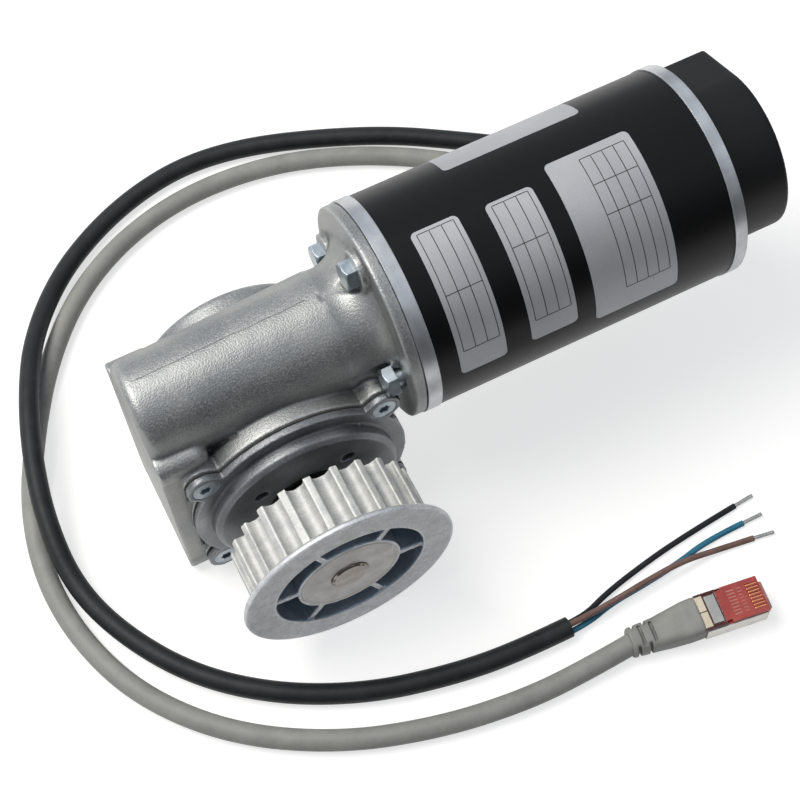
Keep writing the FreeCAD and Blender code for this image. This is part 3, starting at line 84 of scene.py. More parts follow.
class PlugZone(IntEnum):
    """Zone of the clear plug body, in the order of its finishes."""

    MIDDLE = 0
    CLAMP = 1
    LIP = 2


def linear(code: str) -> tuple[float, float, float, float]:
    """Turns an sRGB hex colour into linear light.

    Args:
        code: Colour such as "a0b1c2".

    Returns:
        Red, green, blue and alpha from 0 to 1.
    """
    parts = [int(code[k:k + 2], 16) / 255.0 for k in (0, 2, 4)]
    light = [p / 12.92 if p <= 0.04045 else ((p + 0.055) / 1.055) ** 2.4 for p in parts]
    return (light[0], light[1], light[2], 1.0)


def add(tree: bpy.types.NodeTree, kind: str, inputs: Optional[dict[Any, Any]] = None,
        **settings: Any) -> bpy.types.Node:
    """Adds a node with its settings, its values and its links.

    Args:
        tree: Node tree of a material or the world.
        kind: Node type, such as "ShaderNodeTexNoise".
        inputs: Socket name or number to a value, or to the output socket that feeds it.
        **settings: Properties of the node itself.

    Returns:
        The new node.
    """
    node = tree.nodes.new(kind)
    for key, value in settings.items():
        setattr(node, key, value)
    for key, value in (inputs or {}).items():
        if isinstance(value, bpy.types.NodeSocket):
            tree.links.new(value, node.inputs[key])
        else:
            node.inputs[key].default_value = value
    return node


@dataclass(frozen=True)
class Finish:
    """Surface finish with two tones, a fine pattern and a small relief.

    The broad pattern drifts between the two tones and the fine one moves roughness and relief. Wear and
    shade lightens the edges as wear and darkens the hollows as painted shade, by that share.
    """

    name: str
    light: str
    dark: str
    metallic: float = 0.0
    roughness: float = 0.5
    spread: float = 0.12
    broad_mm: float = 14.0
    fine_mm: float = 0.8
    pattern: Pattern = Pattern.SPECKLE
    fine_tone: float = 0.25
    relief_mm: float = 0.02
    edge_mm: float = 0.25
    ior: Optional[float] = None
    coat: float = 0.0
    transmission: float = 0.0
    specular: float = 0.5
    wear_and_hollow_shade: float = 0.0

    def fine(self, tree: bpy.types.NodeTree, place: bpy.types.NodeSocket) -> bpy.types.NodeSocket:
        """Adds the fine pattern.

        Args:
            tree: Tree of the material.
            place: Position in metres in the part's frame.

        Returns:
            Socket with a value from 0 to 1.
        """
        scale = 1.0 / (self.fine_mm * MM)
        if self.pattern is Pattern.CELLS:
            cells = add(tree, "ShaderNodeTexVoronoi", {"Vector": place, "Scale": scale, "Randomness": 1.0})
            return cells.outputs["Distance"]
        if self.pattern is Pattern.SPECKLE:
            noise = add(tree, "ShaderNodeTexNoise", {"Vector": place, "Scale": scale, "Detail": 3.0})
            return noise.outputs["Fac"]
        if self.pattern is Pattern.TURNED_OUT:
            flat = add(tree, "ShaderNodeVectorMath", {0: place, 1: (OUTPUT_X * MM, 0, 0)},
                       operation="SUBTRACT")
            flat = add(tree, "ShaderNodeVectorMath", {0: flat.outputs[0], 1: (1, 0, 1)}, operation="MULTIPLY")
            reach = add(tree, "ShaderNodeVectorMath", {0: flat.outputs[0]}, operation="LENGTH")
            along = add(tree, "ShaderNodeSeparateXYZ", {0: place}).outputs["Y"]
            both = add(tree, "ShaderNodeMath", {0: reach.outputs["Value"], 1: along}, operation="ADD")
            line = both.outputs[0]
        else:
            line = add(tree, "ShaderNodeSeparateXYZ", {0: place}).outputs["X"]
        if self.pattern is Pattern.LAYERS:
            wave = add(tree, "ShaderNodeMath", {0: line, 1: self.fine_mm * MM}, operation="PINGPONG")
            steps = add(tree, "ShaderNodeMath", {0: wave.outputs[0], 1: scale}, operation="MULTIPLY")
            return steps.outputs[0]
        rings = add(tree, "ShaderNodeTexNoise", {"W": line, "Scale": scale, "Detail": 2.0},
                    noise_dimensions="1D")
        return rings.outputs["Fac"]

    def build(self) -> bpy.types.Material:
        """Makes the material once, or finds it again.

        Returns:
            The material.
        """
        found = bpy.data.materials.get(self.name)
        if found:
            return found
        material = bpy.data.materials.new(self.name)
        material.use_nodes = True
        tree = material.node_tree
        shader = tree.nodes["Principled BSDF"]
        place = add(tree, "ShaderNodeTexCoord").outputs["Object"]
        fine = self.fine(tree, place)
        broad = add(tree, "ShaderNodeTexNoise",
                    {"Vector": place, "Scale": 1.0 / (self.broad_mm * MM), "Detail": 4.0})
        tone = add(tree, "ShaderNodeMix", {0: self.fine_tone, 2: broad.outputs["Fac"], 3: fine},
                   data_type="FLOAT")
        ramp = add(tree, "ShaderNodeMapRange", {"Value": tone.outputs[0], "From Min": 0.3, "From Max": 0.7})
        colour = add(tree, "ShaderNodeMix", {0: ramp.outputs[0], 6: linear(self.dark), 7: linear(self.light)},
                     data_type="RGBA")
        rough = add(tree, "ShaderNodeMapRange", {"Value": fine, "To Min": self.roughness - self.spread / 2,
                                                 "To Max": self.roughness + self.spread / 2})
        eased = add(tree, "ShaderNodeBevel", {"Radius": self.edge_mm * MM}, samples=4)
        bump = add(tree, "ShaderNodeBump", {"Height": fine, "Distance": self.relief_mm * MM, "Strength": 1.0,
                                            "Normal": eased.outputs[0]})
        # Pointiness lightens the convex edges as wear and darkens the hollows with painted shade
        if self.wear_and_hollow_shade > 0:
            tip = add(tree, "ShaderNodeNewGeometry").outputs["Pointiness"]
            shade = add(tree, "ShaderNodeMapRange",
                        {"Value": tip, "From Min": HOLLOW, "From Max": 1.0 - HOLLOW,
                         "To Min": 1.0 - self.wear_and_hollow_shade, "To Max": 1.0 + self.wear_and_hollow_shade})
            colour = add(tree, "ShaderNodeMix", {0: 1.0, 6: colour.outputs[2], 7: shade.outputs[0]},
                         data_type="RGBA", blend_type="MULTIPLY")
        tree.links.new(colour.outputs[2], shader.inputs["Base Color"])
        tree.links.new(rough.outputs[0], shader.inputs["Roughness"])
        tree.links.new(bump.outputs[0], shader.inputs["Normal"])
        shader.inputs["Metallic"].default_value = self.metallic
        shader.inputs["Coat Weight"].default_value = self.coat
        shader.inputs["Transmission Weight"].default_value = self.transmission
        shader.inputs["Specular IOR Level"].default_value = self.specular
        if self.ior is not None:
            shader.inputs["IOR"].default_value = self.ior
        return material


# Die cast and blasted aluminium: pale warm grey with soft darker clouds; the sparkle of the grains,
# about 0.1 mm wide, is drawn coarser so that it shows
CAST_ALUMINIUM = Finish("aluminium_die_cast_blasted", "a6a7a4", "7c7f81", metallic=0.7, roughness=0.42,
                        spread=0.3, broad_mm=14.0, fine_mm=0.5, pattern=Pattern.CELLS, fine_tone=0.35,
                        relief_mm=0.055, edge_mm=0.5, wear_and_hollow_shade=0.45)
# Flash along the parting line: duller than the blasted skin, and painted darker as the shade beside the ridge
FLASH_PAINTED_SHADE = Finish("aluminium_parting_flash_painted_shade", "989997", "6c6e70", metallic=0.6, roughness=0.5,
                       spread=0.2, broad_mm=6.0, fine_mm=0.5, fine_tone=0.4, relief_mm=0.03)
# The same casting on the output cover, painted darker as the shade that the pulley casts on it, and closer
# grained
CAST_COVER_SHADE = Finish("aluminium_die_cast_painted_shade", "87898b", "616467", metallic=0.7, roughness=0.42,
                    spread=0.25, broad_mm=9.0, fine_mm=0.45, pattern=Pattern.CELLS, fine_tone=0.3,
                    relief_mm=0.045, edge_mm=0.4, wear_and_hollow_shade=0.45)
# Turned aluminium: satin silver with fine rings from the lathe
TURNED_ALUMINIUM = Finish("aluminium_turned", "c8cacc", "9fa2a5", metallic=0.85, roughness=0.32,
                          spread=0.18, broad_mm=7.0, fine_mm=0.5, pattern=Pattern.TURNED_X, relief_mm=0.015)
# Pressure cast and blasted zinc of the belt pulley: dull grey with cool and warm clouds
CAST_ZINC = Finish("zinc_die_cast_blasted", "e0e0db", "adb0b3", metallic=0.22, roughness=0.52, spread=0.2,
                   broad_mm=4.0, fine_mm=0.7, fine_tone=0.45, relief_mm=0.04, edge_mm=0.3, wear_and_hollow_shade=0.4)
# The pulley's flange: the same zinc, cooler as a painted reflection, and a little shinier than the teeth
FLANGE_ZINC_REFLECTION = Finish("zinc_flange_painted_reflection", "dbdcde", "a8abae", metallic=0.5, roughness=0.48, spread=0.2,
                     broad_mm=4.0, fine_mm=0.7, fine_tone=0.5, relief_mm=0.04, edge_mm=0.3, wear_and_hollow_shade=0.4)
# Zinc in the pockets of the pulley: painted darker and bluish as the shade and dark reflections deep in the
# pockets, and smoother
POCKET_ZINC_SHADE = Finish("zinc_pocket_painted_shade", "b6c0ca", "87919b", metallic=0.6, roughness=0.4, spread=0.16,
                     broad_mm=5.0, fine_mm=0.7, relief_mm=0.02, edge_mm=0.3)
# Faced zinc of the pulley's hub: slightly brown, with rings from the facing tool, drawn coarser than
# they are
FACED_ZINC = Finish("zinc_faced", "c9c7c4", "a4a19d", metallic=0.6, roughness=0.42, spread=0.2,
                    broad_mm=5.0, fine_mm=0.5, pattern=Pattern.TURNED_OUT, relief_mm=0.02, edge_mm=0.3)
# Fibre gasket: grey pressed paper with a soft fibre mottle
GASKET_FIBRE = Finish("fibre_gasket_pressed", "4b4b4a", "383837", roughness=0.85, broad_mm=3.0, fine_mm=0.4)
# Zinc plated steel: bluish silver, soft bright, slightly cloudy
ZINC_STEEL = Finish("steel_zinc_plated", "b3bbc0", "87929a", metallic=0.9, roughness=0.33, spread=0.2,
                    broad_mm=2.5, fine_mm=0.6, relief_mm=0.015, edge_mm=0.35)
# Ground steel: dark neutral metal with fine rings and a faint brown tint of oil
GROUND_STEEL = Finish("steel_ground_oiled", "a39d92", "7d776e", metallic=0.9, roughness=0.3, spread=0.15,
                      fine_mm=0.3, broad_mm=3.0, pattern=Pattern.TURNED_X, relief_mm=0.006)
# End of the output shaft: turned and browned by oil, with fine rings drawn coarser than they are
TURNED_STEEL = Finish("steel_turned_oiled", "9a938c", "68615a", metallic=0.95, roughness=0.17, spread=0.08,
                      fine_mm=0.4, broad_mm=4.0, pattern=Pattern.TURNED_OUT, fine_tone=0.4, relief_mm=0.008)
# Cast and hobbed bronze: warm yellow brown with fine tool rings
HOBBED_BRONZE = Finish("bronze_cast_hobbed", "b48a4c", "94702f", metallic=1.0, roughness=0.32, spread=0.15,
                       fine_mm=0.4, pattern=Pattern.TURNED_OUT)
# Nitrile rubber: dull moulded black
NITRILE_RUBBER = Finish("nitrile_rubber_moulded", "2a2a2b", "1b1b1c", roughness=0.62, fine_mm=0.5, ior=1.52)
# Satin enamel on the motor tube: smooth deep black with a faint orange peel
SATIN_ENAMEL = Finish("enamel_satin_black", "0e0e0f", "0a0a0b", roughness=0.36, spread=0.08, broad_mm=30.0,
                      fine_mm=2.2, relief_mm=0.008, ior=1.5, specular=0.18)
# Glass filled nylon cap: matt black with a fine moulded grain
MOULDED_NYLON = Finish("nylon_moulded_black", "111112", "0b0b0c", roughness=0.48, spread=0.12, broad_mm=9.0,
                       fine_mm=0.7, relief_mm=0.025, edge_mm=0.6, ior=1.53, specular=0.22)
# Stacked electrical steel: grey sheets with dark lines between them
STACKED_STEEL = Finish("electrical_steel_stacked", "85888b", "4f5357", metallic=0.9, roughness=0.45,
                       fine_mm=0.5, pattern=Pattern.LAYERS, fine_tone=0.7, relief_mm=0.03)
# Enamelled copper winding: orange brown with a glossy varnish over the turns
WOUND_COPPER = Finish("copper_enamelled_wound", "b8632e", "7e3a16", metallic=0.8, roughness=0.3,
                      fine_mm=0.5, pattern=Pattern.LAYERS, fine_tone=0.6, relief_mm=0.06, coat=0.4)
# White moulded insulation: matt plastic with a faint grain
WHITE_NYLON = Finish("nylon_moulded_white", "dedcd4", "cfccc2", roughness=0.5, fine_mm=0.6, ior=1.53)
# Sintered magnet: dull dark grey with a fine grain
SINTERED_MAGNET = Finish("magnet_sintered_coated", "5c5e61", "484a4d", metallic=0.6, roughness=0.48,
                         fine_mm=0.4)
# Circuit board: green lacquer over glass cloth
BOARD_LACQUER = Finish("glass_epoxy_board_lacquered", "1e5a34", "174827", roughness=0.38, fine_mm=0.6,
                       coat=0.2)
# Moulded epoxy of a sensor: dull black
CHIP_EPOXY = Finish("epoxy_moulded", "252526", "1a1a1b", roughness=0.6, fine_mm=0.3)
# Code disc: dark polished film with fine rings
CODE_FILM = Finish("polyester_film_printed", "50545a", "2c2f34", roughness=0.2, fine_mm=0.3,
                   pattern=Pattern.TURNED_X)
# Soft rubber of the cable grommets: dull black
GROMMET_RUBBER = Finish("rubber_moulded_soft", "262627", "191919", roughness=0.7, fine_mm=0.5)
# Black cable sheath: matt extruded compound with faint scuffs
BLACK_SHEATH = Finish("rubber_sheath_extruded_black", "2a2d2f", "191c1d", roughness=0.52, spread=0.24,
                      broad_mm=6.0, fine_mm=1.4, relief_mm=0.05, ior=1.5, specular=0.28)
# Grey cable sheath: matt extruded vinyl, a little dusty
GREY_SHEATH = Finish("vinyl_sheath_extruded_grey", "a6a7a3", "8f908d", roughness=0.52, spread=0.16,
                     broad_mm=9.0, fine_mm=1.4, relief_mm=0.03, ior=1.5, specular=0.35)
# Insulation of the three cores: smooth vinyl with a fine grain
CORE_BLACK = Finish("vinyl_insulation_black", "242428", "16161a", roughness=0.42, fine_mm=0.6, broad_mm=5.0,
                    specular=0.3)
CORE_BLUE = Finish("vinyl_insulation_blue", "3f87a3", "2b6d8b", roughness=0.45, fine_mm=0.6, broad_mm=5.0,
                   specular=0.3)
CORE_BROWN = Finish("vinyl_insulation_brown", "8a7069", "6f554e", roughness=0.45, fine_mm=0.6, broad_mm=5.0,
                    specular=0.3)
# Tinned strands: soft grey metal with dark gaps between the strands
TINNED_COPPER = Finish("copper_tinned_stranded", "d6d6d4", "7c7b78", metallic=0.9, roughness=0.35,
                       fine_mm=0.4, broad_mm=0.6, fine_tone=0.5)
# Grey boot: matt moulded soft plastic
GREY_BOOT = Finish("soft_vinyl_moulded_grey", "9e9f9b", "888985", roughness=0.55, broad_mm=6.0, fine_mm=0.6,
                   relief_mm=0.02, edge_mm=0.4)
# Clear red plug body: tinted polycarbonate with a polished face
RED_POLYCARBONATE = Finish("polycarbonate_moulded_red", "ee6a5c", "d03a31", roughness=0.12, spread=0.06,
                           broad_mm=5.0, fine_mm=1.0, relief_mm=0.006, ior=1.58, transmission=0.5)
# The same body over the cable clamp and the window: deep brown red, partly the dark clamp seen through it and
# partly painted shade in the window recess
SHADED_POLYCARBONATE = Finish("polycarbonate_red_painted_shade", "6b2420", "471613", roughness=0.14,
                            spread=0.06, broad_mm=5.0, fine_mm=1.0, relief_mm=0.006, ior=1.58,
                            transmission=0.3)
# Thin clear lip at the front of the plug: pale pink with light passing through
THIN_POLYCARBONATE = Finish("polycarbonate_moulded_thin_red", "f6bdb5", "e48f85", roughness=0.08,
                            spread=0.04, broad_mm=5.0, fine_mm=1.0, relief_mm=0.004, ior=1.58,
                            transmission=0.25)
# Pale wire ends that show through the red body
PINK_CRIMPS = Finish("polyethylene_extruded_pale", "d79a90", "c27d73", roughness=0.35, broad_mm=2.0,
                     fine_mm=0.5)
# Cream tabs of the plug: natural moulded plastic
NATURAL_PLASTIC = Finish("polyamide_moulded_natural", "efe6d2", "dcd2ba", roughness=0.4, broad_mm=3.0,
                         fine_mm=0.5)
# Grey strip in the plug's window: dull rolled sheet
GREY_SHEET = Finish("steel_sheet_rolled_grey", "b4b5b3", "a0a19f", metallic=0.4, roughness=0.5,
                    broad_mm=3.0, fine_mm=0.5)
# Plug sheet: thin bright nickel plated brass
NICKEL_SHEET = Finish("brass_sheet_nickel_plated", "d2d0c9", "b7b5ae", metallic=0.9, roughness=0.3,
                      fine_mm=0.6, broad_mm=4.0, edge_mm=0.15)
# Gold plated contacts: bright warm metal
GOLD_PLATE = Finish("bronze_gold_plated", "efa97e", "cb8158", metallic=1.0, roughness=0.24, fine_mm=0.3,
                    edge_mm=0.1)
# Label stock: silver polyester, satin, with a very fine grain
LABEL_FOIL = Finish("polyester_label_silver", "bfc1c4", "acaeb2", metallic=0.42, roughness=0.55, spread=0.1,
                    broad_mm=20.0, fine_mm=0.6, relief_mm=0.004, edge_mm=0.05)
# Printed rules: flat dark ink
LABEL_INK = Finish("ink_printed_dark", "2b2c2f", "1d1e20", roughness=0.6, fine_mm=0.4, edge_mm=0.05)

# Finish of each material slot of the record
SLOT_FINISHES: dict[str, Finish] = {
    "cast_aluminium": CAST_ALUMINIUM, "machined_aluminium": TURNED_ALUMINIUM, "gasket_paper": GASKET_FIBRE,
    "zinc_steel": ZINC_STEEL, "ground_steel": GROUND_STEEL, "bronze": HOBBED_BRONZE,
    "pulley_metal": CAST_ZINC, "seal_rubber": NITRILE_RUBBER, "black_paint": SATIN_ENAMEL,
    "black_cap": MOULDED_NYLON, "electrical_steel": STACKED_STEEL, "copper": WOUND_COPPER,
    "white_plastic": WHITE_NYLON, "magnet": SINTERED_MAGNET, "board": BOARD_LACQUER,
    "black_chip": CHIP_EPOXY, "code_disc": CODE_FILM, "black_rubber": GROMMET_RUBBER,
    "black_jacket": BLACK_SHEATH, "grey_jacket": GREY_SHEATH, "core_black": CORE_BLACK,
    "core_blue": CORE_BLUE, "core_brown": CORE_BROWN, "tinned_copper": TINNED_COPPER,
    "grey_boot": GREY_BOOT, "red_clear": RED_POLYCARBONATE, "plug_sheet": NICKEL_SHEET, "gold": GOLD_PLATE,
}

# Nodes whose surface lies another way than the rest of their slot
NODE_FINISHES: dict[str, Finish] = {"output_shaft": TURNED_STEEL}


def placed(obj: bpy.types.Object, body: Body, slot: str, finish: Finish, *nodes: str) -> bpy.types.Object:
    """Gives a new piece its finish and its body, and hides the CAD nodes that it stands for.

    Args:
        obj: New piece, in place.
        body: CAD body that it rides on.
        slot: Material slot of the record; not used.
        finish: Finish of its faces.
        *nodes: CAD nodes that it replaces.

    Returns:
        The piece.
    """
    obj.data.materials.append(finish.build())
    if not obj.users_collection:
        bpy.context.scene.collection.objects.link(obj)
    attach(obj, body.value)
    if nodes:
        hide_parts(*nodes)
    LOG.info("%s on %s", obj.name, body.value)
    return obj


def dress_zones(obj: bpy.types.Object, finishes: Sequence[Finish],
                zone_of: Callable[[bpy.types.MeshPolygon], int]) -> None:
    """Gives the zones of a piece their own finishes beside its first one.

    Args:
        obj: Piece with its first finish.
        finishes: Further finishes, for the zones from 1 on.
        zone_of: Zone that a face lies in.
    """
    for finish in finishes:
        obj.data.materials.append(finish.build())
    for face in obj.data.polygons:
        face.material_index = int(zone_of(face))


@dataclass
class Cord:
    """Round cable or core through given points along its CAD tube.

    The blue and the brown core lie up to 2 mm beside theirs, as in the photograph.
    """

    name: str
    node: str
    slot: str
    finish: Finish
    diameter: float
    length: float
    far_end: str
    stiffness: str
    route: Sequence[Point]
    carries: Sequence[bpy.types.Object] = ()

    def build(self) -> bpy.types.Object:
        """Returns:
            The curve object.
        """
        curve = bpy.data.curves.new(self.name, "CURVE")
        curve.dimensions = "3D"
        curve.bevel_depth = self.diameter / 2 * MM
        curve.bevel_resolution = 5
        curve.resolution_u = 10
        curve.use_fill_caps = True
        spline = curve.splines.new("NURBS")
        spline.points.add(len(self.route) - 1)
        for target, point in zip(spline.points, self.route):
            target.co = (*[c * MM for c in point], 1.0)
        spline.order_u = 3
        spline.use_endpoint_u = True
        obj = bpy.data.objects.new(self.name, curve)
        placed(obj, Body.GEARMOTOR, self.slot, self.finish, self.node)
        return obj


def at_height(points: Sequence[Flat], z: float) -> list[Point]:
    """Puts flat route points at one height."""
    return [(x, y, z) for x, y in points]


@dataclass
class Cabling:
    """Power cable with its three bare cores, and signal cable with its plug."""

    plug: Sequence[bpy.types.Object]
    power_low: float = -29.4
    power_diameter: float = 6.2
    power_length: float = 524.6
    signal_low: float = -29.3
    signal_diameter: float = 6.4
    signal_length: float = 544.0
    core_diameter: float = 1.8

    def power(self) -> Cord:
        """Lays the black sheathed cable from the cap round the gearbox to the bare cores.

        Returns:
            The cable, not yet built.
        """
        route = [(183.0, 17.7, 11.5), (183.0, 17.7, -4.5), (181.0, 25.8, -17.2), (177.0, 39.6, -25.2)]
        route += at_height([(169.5, 55.5), (157.0, 68.2), (140.0, 80.5), (120.5, 93.5), (98.0, 104.0),
                            (76.0, 111.8), (56.0, 114.6), (37.5, 111.8), (19.0, 104.6)], self.power_low)
        route += [(1.0, 92.3, -28.6), (-14.4, 71.2, -23.0), (-23.0, 50.5, -19.6), (-29.3, 30.0, -19.6),
                  (-33.2, 10.0, -22.6), (-33.4, -10.0, -28.2)]
        route += at_height([(-26.5, -30.0), (-13.0, -51.0), (6.0, -67.2), (29.0, -78.8), (53.0, -84.9),
                            (73.0, -87.3), (89.6, -87.4)], self.power_low)
        return Cord("power_cable_sheath", "power_cable", "black_jacket", BLACK_SHEATH, self.power_diameter,
                    self.power_length, "bare", "medium", route)

    def signal(self) -> Cord:
        """Lays the grey sheathed cable from the cap round the gearbox to the plug.

        Returns:
            The cable, not yet built.
        """
        route = [(183.0, 8.0, 11.5), (183.0, 8.0, -4.5), (178.8, 15.4, -17.4), (171.5, 28.2, -25.4)]
        route += at_height([(160.5, 45.5), (147.0, 62.5), (128.5, 78.5), (104.0, 93.0), (78.0, 101.8),
                            (50.0, 103.2), (25.0, 96.6), (4.0, 83.8), (-13.0, 64.8), (-26.5, 41.8),
                            (-36.5, 19.0), (-40.4, -4.5), (-37.6, -28.0), (-28.2, -51.0), (-9.8, -72.4),
                            (16.0, -88.4), (43.0, -97.2), (68.0, -101.0)], self.signal_low)
        route += [(88.0, -101.1, -29.1), (103.5, -100.3, -28.3)]
        return Cord("signal_cable_sheath", "signal_cable", "grey_jacket", GREY_SHEATH, self.signal_diameter,
                    self.signal_length, "plug", "medium", route, self.plug)

    def core(self, colour: str, finish: Finish, length: float, route: Sequence[Point],
             carries: Sequence[bpy.types.Object] = ()) -> Cord:
        """Lays one insulated core.

        Args:
            colour: Colour in its names.
            finish: Finish of its insulation.
            length: Length in millimetres.
            route: Points that it follows.
            carries: Pieces on its end.

        Returns:
            The core, not yet built.
        """
        node = "core_" + colour
        return Cord("core_insulation_" + colour, node, node, finish, self.core_diameter, length, "bare",
                    "limp", route, carries)

    def cores(self) -> list[Cord]:
        """Lays the three insulated cores that come out of the power cable.

        Returns:
            Black, blue and brown core, not yet built.
        """
        black = [(89.65, -86.1, -30.2), (95.65, -86.1, -30.3), (103.0, -83.2, -31.1), (113.5, -80.6, -31.6),
                 (131.5, -77.5, -31.6), (152.0, -75.7, -31.6)]
        blue = [(89.65, -88.7, -30.2), (95.65, -88.5, -30.3), (104.0, -86.1, -31.3), (115.0, -85.3, -31.6),
                (128.0, -83.9, -31.6), (139.0, -81.6, -31.6), (151.3, -81.6, -31.6)]
        brown = [(89.65, -87.3, -28.0), (95.65, -87.3, -27.95), (105.0, -86.6, -28.4), (117.0, -85.6, -28.1),
                 (128.5, -85.0, -28.4), (140.5, -85.6, -31.6), (151.5, -87.2, -31.6)]
        return [self.core("black", CORE_BLACK, 63.5, black, [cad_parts["core_tips"]]),
                self.core("blue", CORE_BLUE, 62.3, blue), self.core("brown", CORE_BROWN, 62.6, brown)]

    def build(self) -> None:
        """Makes every cable and core."""
        for cord in [self.power(), self.signal(), *self.cores()]:
            cord.build()


def as_object(shape: bmesh.types.BMesh, name: str, smooth: bool = False) -> bpy.types.Object:
    """Turns a finished shape into an object with outward faces.

    Args:
        shape: Closed shape in metres, used up.
        name: Name of the piece.
        smooth: Whether its faces are shaded round.

    Returns:
        New object, not yet placed.
    """
    bmesh.ops.recalc_face_normals(shape, faces=shape.faces)
    for face in shape.faces:
        face.smooth = smooth
    mesh = bpy.data.meshes.new(name)
    shape.to_mesh(mesh)
    shape.free()
    return bpy.data.objects.new(name, mesh)


def lofted(shape: bmesh.types.BMesh, rings: Sequence[Sequence[Vector]]) -> None:
    """Adds a closed skin through rings with equally many points.

    Args:
        shape: Shape to add to.
        rings: Points of each ring in metres, in order.
    """
    rows = [[shape.verts.new(p) for p in ring] for ring in rings]
    count = len(rows[0])
    for a, b in zip(rows, rows[1:]):
        for k in range(count):
            n = (k + 1) % count
            shape.faces.new([a[k], a[n], b[n], b[k]])
    shape.faces.new(rows[0][::-1])
    shape.faces.new(rows[-1])


def welded(node: str) -> bpy.types.Mesh:
    """Copies a CAD node's mesh with its split corners joined.

    Args:
        node: CAD node.

    Returns:
        New mesh with shared corners.
    """
    shape = bmesh.new()
    shape.from_mesh(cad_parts[node].data)
    bmesh.ops.remove_doubles(shape, verts=shape.verts, dist=1e-7)
    mesh = bpy.data.meshes.new(node + "_copy")
    shape.to_mesh(mesh)
    shape.free()
    return mesh


def settled(obj: bpy.types.Object, name: str) -> bpy.types.Object:
    """Turns an object with modifiers into a plain one.

    Args:
        obj: Object with modifiers, linked to the scene.
        name: Name of the new piece.

    Returns:
        New object with the finished mesh.
    """
    bpy.context.view_layer.update()
    graph = bpy.context.evaluated_depsgraph_get()
    mesh = bpy.data.meshes.new_from_object(obj.evaluated_get(graph))
    mesh.materials.clear()
    bpy.data.objects.remove(obj)
    mesh.name = name
    return bpy.data.objects.new(name, mesh)


def melted(mesh: bpy.types.Mesh, name: str, voxel: float, rounds: int,
           share: float = 0.35) -> bpy.types.Object:
    """Melts every edge of a closed mesh round, as a casting or moulding has.

    Args:
        mesh: Closed mesh.
        name: Name of the new piece.
        voxel: Cell of the remesh in millimetres.
        rounds: Smoothing rounds after it.
        share: Part of the faces that is kept at the end.

    Returns:
        New object, not yet placed.
    """
    obj = bpy.data.objects.new(name + "_rough", mesh)
    bpy.context.scene.collection.objects.link(obj)
    remesh = obj.modifiers.new("cells", "REMESH")
    remesh.mode = "VOXEL"
    remesh.voxel_size = voxel * MM
    remesh.use_smooth_shade = True
    melt = obj.modifiers.new("melt", "SMOOTH")
    melt.factor = 0.5
    melt.iterations = rounds
    fewer = obj.modifiers.new("fewer", "DECIMATE")
    fewer.ratio = share
    return settled(obj, name)


def carved(solid: bpy.types.Object, tools: bpy.types.Object) -> bpy.types.Mesh:
    """Cuts tools out of a solid.

    Args:
        solid: Closed object, used up.
        tools: Closed objects in one mesh, used up.

    Returns:
        Mesh of what is left.
    """
    for obj in (solid, tools):
        bpy.context.scene.collection.objects.link(obj)
    cutting = solid.modifiers.new("cut", "BOOLEAN")
    cutting.operation = "DIFFERENCE"
    cutting.solver = "EXACT"
    cutting.object = tools
    left = settled(solid, solid.name + "_cut")
    bpy.data.objects.remove(tools)
    mesh = left.data
    bpy.data.objects.remove(left)
    return mesh


